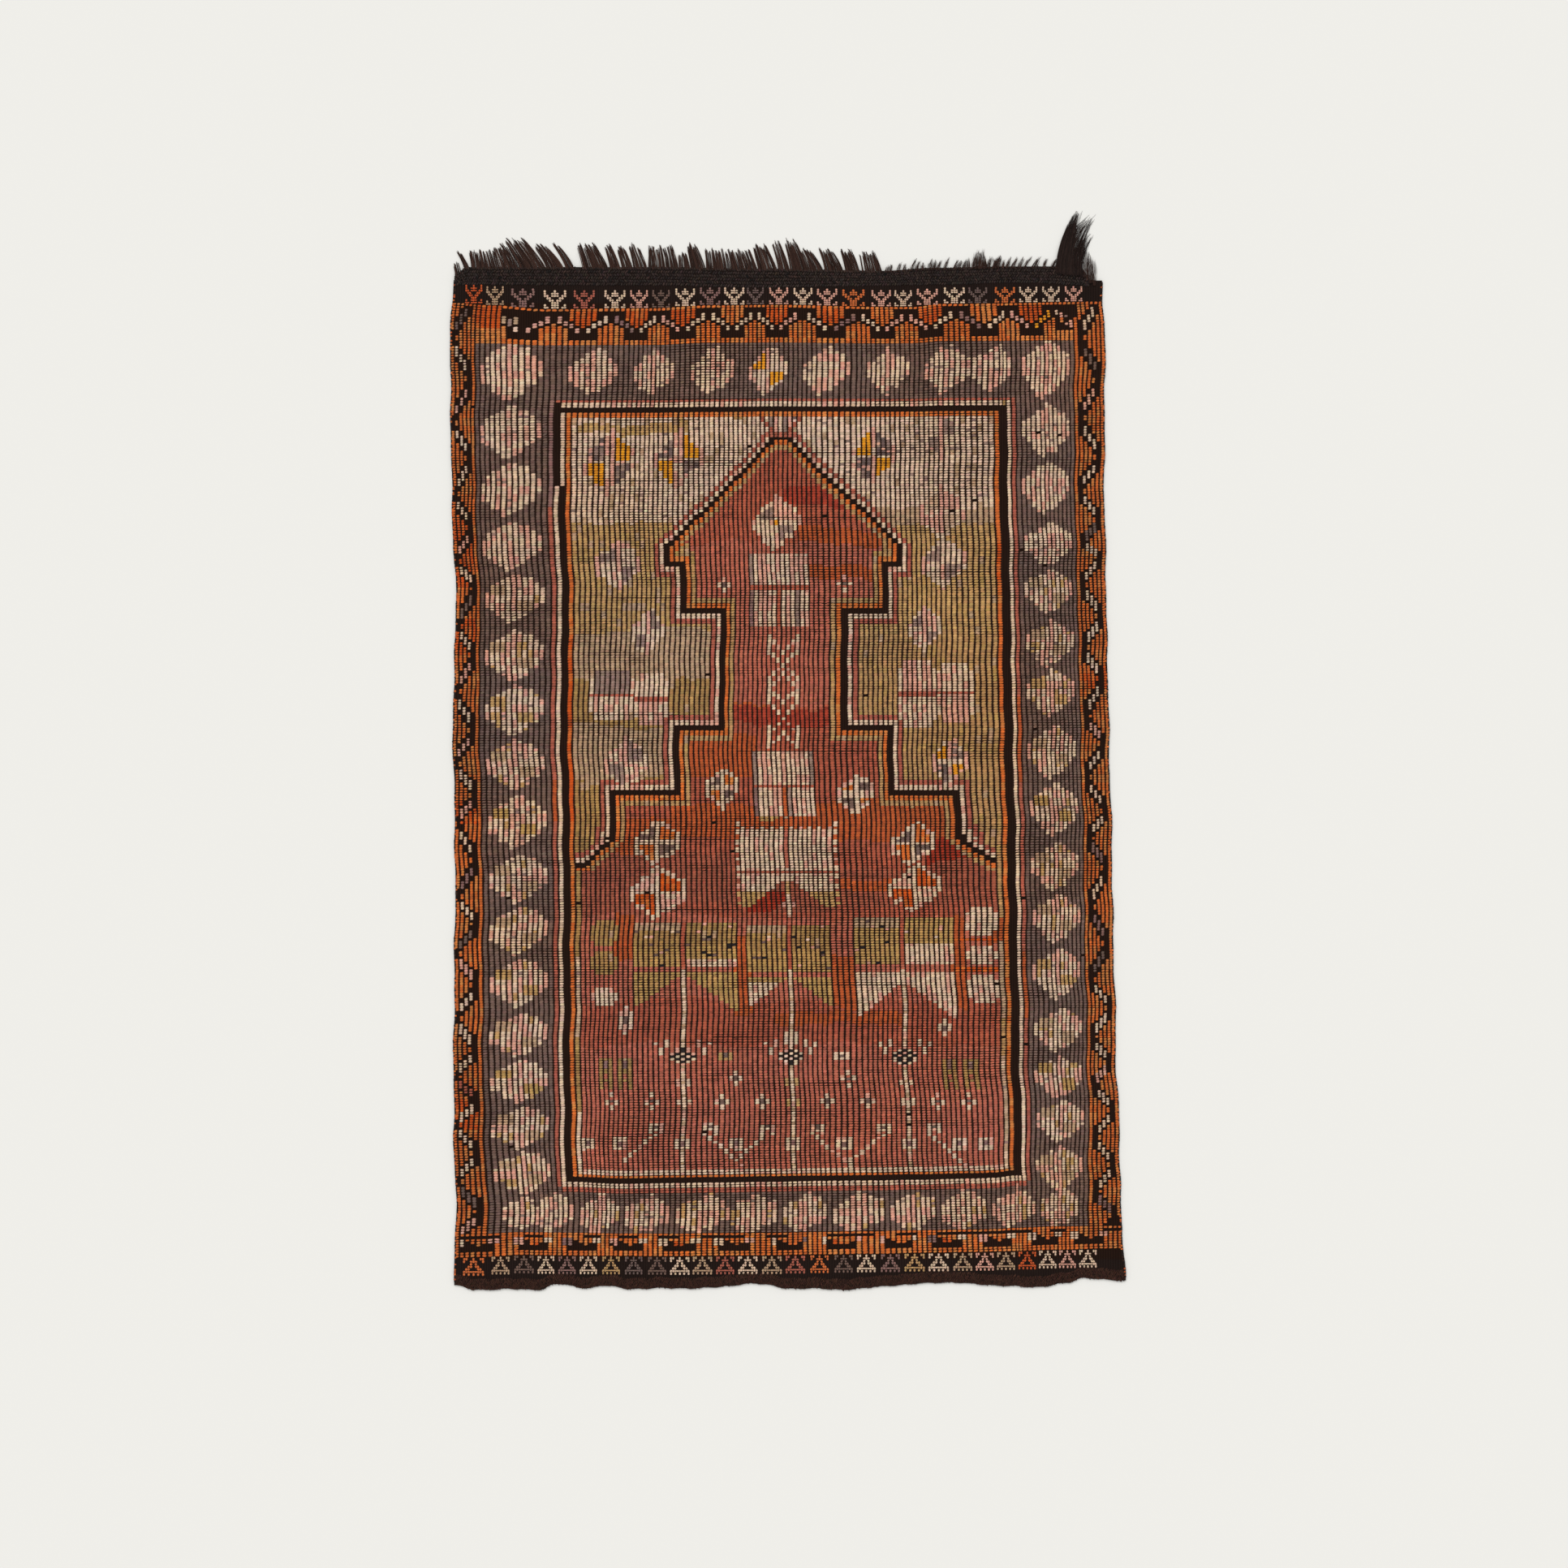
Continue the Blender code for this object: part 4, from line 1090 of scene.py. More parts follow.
def yarn_material(name, roughness, sheen, depth=0.7, worn=0.16):
    """Handspun wool: its dye from the stitches, mottled along the fibres, darker down in the gaps."""
    made, nodes = new_material(name, {
        "Roughness": roughness, "Sheen Weight": sheen, "Sheen Roughness": 0.5, "Specular IOR Level": 0.2,
    })
    place = nodes.place()
    along = nodes.node("ShaderNodeMapping", {}, {"Vector": place, "Scale": (0.45, 1.0, 1.0)})
    fibre, patch = nodes.noise(along, FIBRES, 2.0, 0.6), nodes.noise(place, PATCHES, 2.0, 0.6)
    crown = nodes.node("ShaderNodeAttribute", {"attribute_name": "crown"}, out="Fac")
    parts = nodes.node("ShaderNodeSeparateXYZ", {}, {0: place})
    twist = (parts.other("Y") + 0.45 * parts) * (2 * math.pi / PLY_PITCH)
    plies = (twist + nodes.noise(place, PLY_WANDER, 1.0) * 9).wave()
    light = (1 - depth + depth * crown) * (1 - worn + 2 * worn * fibre)
    light = light * (0.84 + 0.32 * patch) * (0.98 + 0.24 * plies)
    relief = 0.6, 0.0004, fibre * 0.8 + patch * 0.5 + plies * 0.5
    return finish_material(made, nodes, shaded_dye(nodes, light), relief)


# The ground's colour in its plain bands, and between the brocade's columns, where their dyes tint it.
PLAIN_GROUND, BROCADE_GROUND = (42, 31, 27), (44, 28, 21)
TINT_FADE = 4 * MM


def ground_material():
    """The dark ground weave: fine weft ribs across, warp ribs along, with a little fluff."""
    made, nodes = new_material("Dark ground weave", {"Roughness": 0.95, "Specular IOR Level": 0.05})
    place = nodes.place()
    parts = nodes.node("ShaderNodeSeparateXYZ", {}, {0: place})
    ribs = (parts * (2 * math.pi / RIB_PITCH)).wave()
    wefts = (parts.other("Y") * (2 * math.pi / WEFT_PITCH) + ribs * 0.8).wave()
    fluff = nodes.noise(place, FLUFF, 3.0)
    light = (0.78 + 0.16 * ribs) * (0.6 + 0.5 * fluff) * (0.75 + 0.5 * nodes.noise(place, BROAD_SHADES, 2.0))
    foot, head = (float(chart_place(COLUMNS / 2, row)[1]) for row in (0, ROWS))
    reach, half = (parts.other("Y") - (foot + head) / 2).size(), (head - foot) / 2
    brocaded = nodes.node("ShaderNodeMapRange", {}, {"Value": reach, 1: half + TINT_FADE, 2: half})
    pairs = zip(("Red", "Green", "Blue"), linear(PLAIN_GROUND), linear(BROCADE_GROUND))
    tint = {label: light * (float(dark) + float(warm - dark) * brocaded) for label, dark, warm in pairs}
    color = nodes.node("ShaderNodeCombineColor", {}, tint)
    return finish_material(made, nodes, color, (0.7, 0.0005, ribs * 0.5 + wefts * 0.3 + fluff * 0.5))


def hair_material(name):
    """Coarse dark goat hair, a little glossy."""
    made, nodes = new_material(name, {"Roughness": 0.7, "Specular IOR Level": 0.12})
    return finish_material(made, nodes, shaded_dye(nodes, 0.7 + 0.6 * nodes.noise(nodes.place(), HAIRS, 2.0)))


class RugSettings(bpy.types.PropertyGroup):
    """Sizes and colours of the rug and its stage."""

    ground_height: FloatProperty(
        name="Ground height", description="Top of the plain ground weave", default=2.2 * MM, min=0.5 * MM,
        max=6 * MM, unit="LENGTH",
    )
    brocade_relief: FloatProperty(
        name="Brocade relief", description="How far a brocade stitch stands above the ground weave",
        default=1.25 * MM, min=0.2 * MM, max=4 * MM, unit="LENGTH",
    )
    stitch_width: FloatProperty(
        name="Stitch width", description="Share of a column's width that a stitch fills", default=0.82, min=0.3,
        max=1.0, subtype="FACTOR",
    )
    stitch_height: FloatProperty(
        name="Stitch height", description="Share of a row's pitch that a stitch fills", default=1.1, min=0.3,
        max=1.4, subtype="FACTOR",
    )
    row_gaps: FloatProperty(
        name="Row gaps", description="How far the rows part where the weave is open", default=0.42, min=0.0,
        max=0.8, subtype="FACTOR",
    )
    dye_richness: FloatProperty(
        name="Dye richness", description="How strong the brocade's dyes are beside their own greys", default=1.05,
        min=0.0, max=2.0,
    )
    dye_variation: FloatProperty(
        name="Dye variation", description="How much the dye differs from stitch to stitch", default=0.11, min=0.0,
        max=0.4, subtype="FACTOR",
    )
    twining_relief: FloatProperty(
        name="Twining relief", description="How far the head's twined lobes stand above their strip",
        default=1.9 * MM, min=0.2 * MM, max=4 * MM, unit="LENGTH",
    )
    strands: IntProperty(
        name="Strands per lock", description="How many strands each fringe lock has", default=13, min=3, max=40
    )
    floor_color: FloatVectorProperty(
        name="Floor", description="Colour of the plain floor", subtype="COLOR", size=3,
        default=(0.837, 0.827, 0.788), min=0.0, max=1.0,
    )
    sky_strength: FloatProperty(
        name="Sky strength", description="Strength of the even light from all round", default=0.75, min=0.0,
        max=4.0,
    )
    sun_strength: FloatProperty(
        name="Sun strength", description="Strength of the broad soft light", default=1.2, min=0.0, max=10.0
    )


def settings():
    return bpy.context.scene.rug_settings


def dyed(yarns, chance, spread):
    """The linear colours of stitches by yarn number, each a little off its neighbours."""
    color = linear(np.array(list(YARNS.values())))[yarns]
    light = 1 + spread * chance.standard_normal(color.shape[:-1])
    warm = 1 + 0.25 * spread * chance.standard_normal(color.shape[:-1] + (3,))
    return np.clip(color * light[..., None] * warm, 0, 1)


def uneven_sizes(chance, count, spread, *size):
    """The width, height and thickness of like stitches, each a little off."""
    return np.array(size) * (1 + spread * chance.standard_normal((count, 3)))


# Lazy lines: thin breaks in the weaving, where the dark ground shows between two rows, each with its row and its
# left and right column.
BREAKS = (
    (331, 24, 60), (323, 30, 48), (310, 66, 96), (299, 24, 44), (296, 80, 106), (285, 60, 88), (268, 24, 40),
    (264, 88, 106), (254, 30, 46), (244, 60, 84), (209, 26, 44), (195, 56, 88), (205, 6, 18), (176, 40, 58),
    (161, 44, 52), (154.5, 28, 38), (150.5, 114, 124), (134, 40, 56), (124, 54, 58), (112.5, 45, 58),
    (105, 66, 88), (97.5, 64, 78), (85, 50, 62), (83, 44, 60), (67.5, 24, 44), (67, 56, 78), (54.5, 60, 76),
    (41.5, 115, 119), (8.3, 20, 52), (8.8, 56, 82),
)
# How much closer than their pitch the rows may lie, and how far they may part.
CLOSEST, WIDEST = -0.18, 0.34
# The share of the stitches that are missing.
MISSING = 0.0007
# The side borders beside the rest: how much more their rows part, and how wide and how light their stitches are.
BORDER_GAP, BORDER_WIDTH, BORDER_LIGHT = 0.07, 0.93, 0.9


def brocade_stitches(chart):
    """Where every brocade stitch lies, how large and turned it is, its dye, and whether it is there."""
    values, chance = settings(), draws("brocade")
    column, level = chart.column, chart.level.copy()
    border = (column < BORDER_LEFT) | (column > BORDER_RIGHT)
    openness = 0.5 * cloud(chance, 18, 12) + 0.35 * cloud(chance, 5, 7) + 0.4 * cloud(chance, 1, 9)
    open_rows = np.clip(openness + 0.2, 0, 1) ** 0.7 * values.row_gaps
    slits = np.clip(cloud(chance, 1, 6) - 0.66, 0, 1) * 0.8 + np.clip(cloud(chance, 1, 2) - 0.8, 0, 1)
    gap = 1 - values.stitch_height + open_rows + slits + 0.03 * chance.standard_normal(level.shape)
    loose = cloud(chance, 3, 6)
    for row, left, right in BREAKS:
        near = (np.abs(chart.row - row) < 0.75) & (column > left) & (column < right)
        gap[near] = np.maximum(gap[near], 0.2 + 0.16 * loose[near])
        level[near] += 0.04 * np.sign(chart.row[near] - row)
    gap += np.where(border, BORDER_GAP, 0.0)
    tall = ROW_PITCH * (1 - np.clip(gap, CLOSEST, WIDEST))
    tall[1:-1] *= (level[2:] - level[:-2]) / 2
    x, y = chart_place(column, level)
    wide = chart_place(column + 0.5, level)[0] - chart_place(column - 0.5, level)[0]
    wide *= values.stitch_width + 0.05 * cloud(chance, 14, 1) + 0.04 * cloud(chance, 2, 1)
    wide *= np.where(border, BORDER_WIDTH, 1.0)
    x += 0.1 * MM * chance.standard_normal(level.shape) + 0.3 * MM * cloud(chance, 5, 1)
    relief = values.brocade_relief * (1 + 0.1 * chance.standard_normal(level.shape) + 0.12 * cloud(chance, 30, 9))
    turn = 0.05 * np.where(np.floor(column) % 2 == 0, 1, -1) + 0.07 * chance.standard_normal(level.shape)
    color = dyed(chart.yarn, chance, values.dye_variation)
    run = 1 + 0.07 * cloud(chance, 7, 1) + 0.06 * cloud(chance, 12, 14) + 0.04 * cloud(chance, 60, 4)
    color *= (1.09 * run * np.where(border, BORDER_LIGHT, 1.0))[..., None]
    pale = color.mean(-1, keepdims=True)
    color = pale + values.dye_richness * (color - pale)
    cool = 0.08 * cloud(chance, 24, 16)
    color[..., 0] *= 1 - 0.6 * cool
    color[..., 2] *= 1 + cool
    slate = np.clip(0.5 + 0.9 * cloud(chance, 22, 9), 0, 1)[..., None]
    mixed = color * (1 - slate) + slate * color * (0.97, 1.04, 1.09)
    color = np.where(chart.has("grey")[..., None], mixed, color)
    present = ~chart.has("bare") & (chance.random(level.shape) > MISSING)
    place = np.stack([x, y, np.full(x.shape, values.ground_height)], -1)
    return place, np.stack([wide, tall, relief], -1), turn, np.clip(color, 0, 1), present


def points_of(piece):
    points = np.empty(len(piece.data.vertices) * 3, np.float32)
    piece.data.vertices.foreach_get("co", points)
    return points.reshape(-1, 3)


def add_folded_map(piece, rows):
    """A UV map with the strip's length folded into parts that lie side by side on its square."""
    mesh, points = piece.data, points_of(piece)
    fold = np.minimum(np.repeat(rows, STITCH_ACROSS * STITCH_ALONG) * FOLDS // ROWS, FOLDS - 1)
    across = (points[:, 0] - points[:, 0].min()) / np.ptp(points[:, 0])
    along = np.zeros(len(points))
    for part in range(FOLDS):
        chosen = fold == part
        low, high = points[chosen, 1].min(), points[chosen, 1].max()
        along[chosen] = (points[chosen, 1] - low) / (high - low)
    places = np.stack([(fold + 0.02 + 0.96 * across) / FOLDS, 0.004 + 0.992 * along], 1)
    while mesh.uv_layers:
        mesh.uv_layers.remove(mesh.uv_layers[0])
    layer = mesh.uv_layers.new(name="OFBake")
    corners = np.empty(len(mesh.loops), np.int32)
    mesh.loops.foreach_get("vertex_index", corners)
    layer.uv.foreach_set("vector", np.ascontiguousarray(places[corners], np.float32).ravel())


def lay_brocade():
    """The brocade in strips, each a stretch of columns from the foot band to the head band."""
    chart = woven_chart()
    *fields, present = brocade_stitches(chart)
    material = yarn_material("Brocade wool", 0.88, 0.25)
    for number in range(STRIPS):
        span = slice(number * COLUMNS // STRIPS, (number + 1) * COLUMNS // STRIPS)
        shown = present[:, span]
        stitches = Stitches(*(values[:, span][shown] for values in fields))
        name = f"brocade_strip_{number + 1}"
        piece = lay_stitches(name, stitches, material, fullness=0.62, taper=0.1, slant=0.12)
        add_folded_map(piece, np.floor(chart.row[:, span][shown]).astype(int))
        settle(piece, "brocaded_wool")


def closed_slab(name, x, y, top, material):
    """A closed slab from the floor over a grid of places: its top and its underside, joined by walls."""
    rows, columns = x.shape
    number = np.arange(rows * columns).reshape(rows, columns)
    upper, lower = (np.stack([x, y, np.full(x.shape, z)], -1).reshape(-1, 3) for z in (top, 0.0))
    quads = np.stack([number[:-1, :-1], number[:-1, 1:], number[1:, 1:], number[1:, :-1]], -1).reshape(-1, 4)
    rim = np.concatenate([number[0, :-1], number[:-1, -1], number[-1, :0:-1], number[:0:-1, 0]])
    after = np.roll(rim, -1)
    walls = np.stack([rim, rim + len(upper), after + len(upper), after], 1)
    faces = np.concatenate([quads, quads[:, ::-1] + len(upper), walls])
    mesh = bpy.data.meshes.new(name)
    mesh.from_pydata(np.concatenate([upper, lower]).tolist(), [], faces.tolist())
    mesh.materials.append(material)
    piece = bpy.data.objects.new(name, mesh)
    bpy.context.scene.collection.objects.link(piece)
    return piece


GROUND_ROWS = 48


def lay_ground():
    """The plain dark cloth under the brocade, hem and bands, from the hem's edge to the head."""
    column, along = np.meshgrid(np.linspace(0, COLUMNS, COLUMNS + 1), np.linspace(0, 1, GROUND_ROWS + 1))
    x = column_x(column, along)
    y = cloth_y(np.clip(across_at(x, along), 0, 1), along)
    slab = closed_slab("ground_cloth", x + SHIFT_X, y + SHIFT_Y, settings().ground_height, ground_material())
    settle(slab, "brocaded_wool", PANEL)


# Small motifs, each drawn as its rows of stitches from the top. A slash leans a stitch to the right.
GOBLET = r"""
#...#...#
#..-#-..#
\\.---.//
.\\...//.
..\\.//..
...\#/...
#..-#-..#
--.---.--
"""
ARCH = r"""
##..#..##
#..-#-..#
.../.\...
..//.\\..
.//...\\.
/#-----#\
#.#.#.#.#
"""
STITCH_LEAN = {"#": 0.0, "-": 1.57, "/": -0.6, "\\": 0.6}
# A stitch's width and height beside its place in the drawing, lying and standing.
LYING, STANDING = (0.8, 1.1), (1.06, 0.98)
# The motifs from the left: how far from the last one's middle, the yarn, and the width, all in millimetres.
HEAD_MOTIFS = (
    (0, "red orange", 23), (29, "drab", 24), (38, "mauve", 32), (44, "cream", 31), (40, "frame rose", 29),
    (42, "cream", 29), (33, "pink", 24), (30, "grey", 24), (33, "cream", 27), (34, "mauve", 28),
    (33, "cream", 28), (29, "slate", 23), (32, "pink", 26), (33, "cream", 26), (33, "pink", 28),
    (36, "orange", 31), (38, "pink", 27), (30, "cream", 24), (33, "pink", 29), (37, "cream", 29),
    (32, "slate", 26), (37, "orange", 28), (32, "cream", 25), (31, "cream", 24), (31, "pink", 24),
)
FOOT_MOTIFS = (
    (0, "orange", 29), (37, "drab", 25), (32, "grey", 27), (30, "cream", 23), (29, "mauve", 24),
    (29, "cream", 24), (31, "straw", 24), (31, "slate", 24), (32, "grey", 25), (31, "cream", 27),
    (31, "drab", 27), (31, "frame rose", 25), (31, "cream", 27), (33, "drab", 27), (32, "frame rose", 27),
    (33, "orange", 25), (33, "grey", 25), (31, "cream", 26), (33, "mauve", 26), (33, "straw", 28),
    (33, "cream", 28), (33, "drab", 26), (30, "pink", 25), (29, "drab", 25), (29, "red orange", 24),
    (28, "cream", 24), (27, "pink", 23), (28, "cream", 24),
)


def motif_stitches(motifs, drawing, row, x, full, lift, narrowing=0.0):
    """Every stitch of a band of small motifs that stands on a line of the chart."""
    chance, lines = draws("motifs"), drawing.split()
    place, size, turn, yarns = [], [], [], []
    columns = np.arange(COLUMNS + 1)
    for step, yarn, broad in motifs:
        x += step * MM
        column = np.interp(x, chart_place(columns, row)[0], columns)
        base = chart_place(column, row + rise(column, row))[1]
        width = broad * MM / len(lines[0])
        tall = full * (1 - narrowing * (x / (2 * HALF_WIDTH) + 0.5))
        for number, line in enumerate(reversed(lines)):
            for spot, mark in enumerate(line):
                if mark == ".":
                    continue
                across = (spot - (len(line) - 1) / 2) * width + 0.15 * MM * chance.standard_normal()
                place.append((x + across, base + lift + (number + 0.5) * tall, settings().ground_height))
                wide, high = LYING if mark == "-" else STANDING
                size.append((width * wide, tall * high, 1.0 * MM))
                turn.append(STITCH_LEAN[mark] + 0.08 * chance.standard_normal())
                yarns.append(YARN_NUMBER[yarn])
    return Stitches(*map(np.array, (place, size, turn)), dyed(np.array(yarns), chance, 0.09))


def lay_motifs():
    """The goblet motifs of the head band and the arched ones of the foot band."""
    wool = yarn_material("Motif wool", 0.88, 0.25)
    head = motif_stitches(
        HEAD_MOTIFS, GOBLET, ROWS, x=-429.6 * MM, full=3.3 * MM, lift=0.4 * MM, narrowing=0.22
    )
    foot = motif_stitches(FOOT_MOTIFS, ARCH, 0, x=-430 * MM, full=3.5 * MM, lift=-25.5 * MM)
    for name, stitches in (("head_motifs", head), ("foot_motifs", foot)):
        settle(lay_stitches(name, stitches, wool, dip=0.3), "brocaded_wool")


HEM_ROWS, HEM_PITCH, HEM_ROW_PITCH, HEM_INSET = 6, 2.7 * MM, 2.35 * MM, 1.3 * MM
WRAP_PITCH, WRAP_INSET = 2.3 * MM, 1.3 * MM


def lay_hem():
    """The coarse twined hem along the foot, with its fluff."""
    chance, places = draws("hem"), []
    for row in range(HEM_ROWS):
        x = np.arange(-0.5, 0.5, HEM_PITCH) + HEM_PITCH * (row % 2) / 2
        across = across_at(x - SHIFT_X, 0.0)
        on_cloth = (across > 0.002) & (across < 0.998)
        x, across = x[on_cloth], across[on_cloth]
        y = cloth_y(across, 0.0) + SHIFT_Y + HEM_INSET + HEM_ROW_PITCH * row
        places.append(np.stack([x, y, np.full(x.shape, row)], 1))
    place = np.concatenate(places)
    count, odd = len(place), place[:, 2] % 2 == 1
    place[:, 2] = settings().ground_height
    place[:, :2] += 0.35 * MM * chance.standard_normal((count, 2))
    size = uneven_sizes(chance, count, 0.12, 2.5 * MM, 4.4 * MM, 1.3 * MM)
    turn = np.where(odd, -0.5, 0.5) + 0.15 * chance.standard_normal(count)
    color = dyed(np.full(count, YARN_NUMBER["hem brown"]), chance, 0.2)
    wool = yarn_material("Hem wool", 0.95, 0.0, depth=0.6, worn=0.4)
    piece = lay_stitches("hem_twining", Stitches(place, size, turn, color), wool, dip=0.7, taper=0.4, loose=0.1)
    settle(piece, "brocaded_wool")


def lay_selvedges():
    """The dark yarn that wraps both selvedges."""
    chance = draws("selvedges")
    along = np.arange(0.004, 0.996, WRAP_PITCH / CLOTH_LENGTH)
    high, places = np.full(along.shape, settings().ground_height * 0.8), []
    for side, inward in ((0, WRAP_INSET), (COLUMNS, -WRAP_INSET)):
        y = cloth_y(np.full(along.shape, side / COLUMNS), along)
        places.append(np.stack([column_x(side, along) + inward + SHIFT_X, y + SHIFT_Y, high], 1))
    place, turn = np.concatenate(places), np.repeat((-0.25, 0.25), len(along))
    size = uneven_sizes(chance, len(place), 0.1, 3.6 * MM, 2.3 * MM, 1.5 * MM)
    kinds = [YARN_NUMBER[name] for name in ("black", "orange", "brick", "hem brown")]
    yarns = chance.choice(kinds, len(place), p=(0.5, 0.2, 0.1, 0.2))
    turn += 0.1 * chance.standard_normal(len(place))
    stitches = Stitches(place, size, turn, dyed(yarns, chance, 0.15))
    settle(lay_stitches("selvedge_wraps", stitches, yarn_material("Selvedge wool", 0.92, 0.05)), "brocaded_wool")


# How the twining falls away past its end, its rows and lobes, and the grid of the slab under them.
HEADING_FALL, HEADING_LEAST = 12 * MM, 0.3
TWINED_ROWS, LOBE_PITCH = 6, 3.4 * MM
BED_ROWS, BED_COLUMNS = 5, 260


def heading_sides(x):
    """The foot and top of the twining, which laps over the cloth's end and falls away under the loose hair."""
    base, top = head_line(across_at(x)) + GAP / 2 - HEADING_LAP, strip_top(x) - HEADING_DROP
    return base, base + (top - base) * np.clip(1 - (x - HEADING_END) / HEADING_FALL, HEADING_LEAST, 1)


def lay_twining():
    """The twined strip across the head: a dark slab under rows of slanted lobes."""
    chance, low, places = draws("twining"), settings().ground_height, []
    left, right = side_edges(1.0)
    x = np.linspace(left + 1 * MM, right - 1 * MM, BED_COLUMNS)
    share = np.linspace(0, 1, BED_ROWS)[:, None]
    base = head_line(across_at(x)) + GAP / 2
    y = base + (np.maximum(heading_sides(x)[1], base + 2 * MM) - base) * share
    slab = closed_slab("twining_bed", x + SHIFT_X + 0 * share, y + SHIFT_Y, low + 0.2 * MM, ground_material())
    for row in range(TWINED_ROWS):
        spots = np.arange(x[0] + 1 * MM, HEADING_END + 6 * MM, LOBE_PITCH) + LOBE_PITCH / 2 * (row % 2)
        base, top = heading_sides(spots)
        at = base + (top - base) * (row + 0.5) / TWINED_ROWS
        lean = np.full(spots.shape, 0.62 if row % 2 else -0.62)
        places.append(np.stack([spots + SHIFT_X, at + SHIFT_Y, np.full(spots.shape, low + 0.1 * MM), lean], 1))
    place, turn = np.split(np.concatenate(places), [3], axis=1)
    count = len(place)
    place[:, :2] += 0.3 * MM * chance.standard_normal((count, 2))
    size = uneven_sizes(chance, count, 0.12, 2.9 * MM, 4.8 * MM, settings().twining_relief)
    color = dyed(np.full(count, YARN_NUMBER["heading brown"]), chance, 0.35)
    stitches = Stitches(place, size, turn[:, 0] + 0.15 * chance.standard_normal(count), color)
    wool = yarn_material("Heading wool", 0.8, 0.1, depth=0.92, worn=0.4)
    settle(slab, "heading_wool", HEADING)
    settle(lay_stitches("head_twining", stitches, wool, dip=0.7, taper=0.4, loose=0.1), "heading_wool")


def lock_sides(bunches):
    """Each lock in order: the places along X where it starts and ends, its bunch, and how short it is cut."""
    sides = []
    for bunch in bunches:
        pitch = (bunch.end - bunch.start) / bunch.locks
        for lock in range(bunch.locks):
            start = bunch.start + pitch * lock
            trim = 1 - LENGTH_SPREAD * (0.5 + 0.5 * math.sin(2.4 * len(sides)))
            sides.append((start, start + pitch, bunch, trim))
    return sides


STRAND_STEPS = 7
# How strands grow: their height in millimetres, their spread beside the lock's width, how much shorter the outer
# ones are, the slack in their bends, how much they thin out, and how far apart their tips stay: the least share of
# the spread, and how much more at most.
Growth = namedtuple("Growth", "lift spread thinning slack taper apart more")
LOCK_GROWTH, LOCK_DEPTH, LOCK_THICKNESS = Growth(1.0, 0.5, 0.4, 0.3 * MM, 0.5, 0.45, 0.3), -7 * MM, 0.6
LOOSE_GROWTH = Growth(2.2, 0.62, 1, 1.8 * MM, 0.72, 0.08, 0.5)


def draw_strands(bunches, strands, chance):
    """The lines and radii of the strands: a lock's strands close to a point, and its middle ones are longest."""
    points, edges, radii, shades = [], [], [], []
    for start, end, bunch, trim in lock_sides(bunches):
        middle, heart = (bunch.start + bunch.end) / 2, (start + end) / 2
        tip = middle + (heart - middle) * bunch.keep + bunch.lean * bunch.reach
        loose = isinstance(bunch, LooseBunch)
        growth = LOOSE_GROWTH if loose else LOCK_GROWTH
        depth, thick = (bunch.depth, bunch.thickness) if loose else (LOCK_DEPTH, LOCK_THICKNESS)
        base, sway = strip_top(heart) + depth, 0.9 * MM * chance.standard_normal()
        for _ in range(bunch.strands if loose else strands):
            aside = chance.uniform(-1, 1)
            root = heart + (end - start) * growth.spread * aside
            length = trim * (1 - growth.thinning * (0.36 * abs(aside) ** 1.5 + 0.2 * chance.random() ** 2))
            drawn = growth.apart + growth.more * chance.random()
            bend = sway + growth.slack * chance.standard_normal()
            height = chance.uniform(0.5, 1.0)
            for step in range(STRAND_STEPS + 1):
                share = length * step / STRAND_STEPS
                centre = heart + (tip - heart) * share**bunch.curl
                across = (root - heart) * (1 - (1 - drawn) * share)
                x = centre + across + bend * math.sin(2.6 * share + root * 3000) * share
                z = (0.35 + (2.0 * height + growth.lift) * (1 - share) ** 1.2) * MM
                if step:
                    edges.append((len(points) - 1, len(points)))
                points.append((x + SHIFT_X, base + (bunch.reach - depth) * share + SHIFT_Y, z))
                radii.append(thick * (1 - growth.taper * (step / STRAND_STEPS) ** 2.4) * MM)
            shades.extend([0.55 + 1.3 * chance.random() ** 1.6] * (STRAND_STEPS + 1))
    return points, edges, radii, np.array(shades)


def spin_strands(name, drawn, material, color):
    """A piece of tapering strands along drawn lines."""
    points, edges, radii, shades = drawn
    mesh = bpy.data.meshes.new(name + " lines")
    mesh.from_pydata(points, edges, [])
    store(mesh, "size", "FLOAT", "value", radii)
    dye = np.clip(linear(color) * shades[:, None], 0, 1)
    store(mesh, "yarn", "FLOAT_COLOR", "color", np.hstack([dye, np.ones((len(points), 1))]))
    tree = grow_tree("Spun strands", {"Sides": ("NodeSocketInt", 3)}, spin_lines)
    return grown(name, mesh, tree, {"Sides": 3, "Material": material})


def lay_fringe():
    """The fringe of dark hair beyond the twining, lock by lock, and the thin tuft on the corner."""
    chance, wisps = draws("fringe"), []
    for x in np.arange(WISP_START, WISP_END, WISP_PITCH):
        climb = np.clip((x - WISP_START) / (WISP_END - WISP_START), 0, 1) ** 2
        at, reach = x + 1.5 * MM * chance.standard_normal(), (chance.uniform(5, 11) + 5 * climb) * MM
        lean = chance.uniform(0.1, 0.9) + 0.5 * climb
        wisps.append(LooseBunch(at, at + WISP_WIDTH, 1, reach, lean, 0.5, 1.3, 12, -7 * MM, 0.34))
    drawn = draw_strands(FRINGE + wisps + TUFTS + CORNER_HAIR, settings().strands, chance)
    settle(spin_strands("fringe_hair", drawn, hair_material("Fringe hair"), FRINGE_DYE), "heading_wool")


def lay_tail():
    """The unravelled end of the twining, with its long hair."""
    drawn = draw_strands(TAIL_HAIR, settings().strands, draws("tail"))
    settle(spin_strands("tail_hair", drawn, hair_material("Tail hair"), TAIL_DYE), "tail_wool", TAIL_NODE)


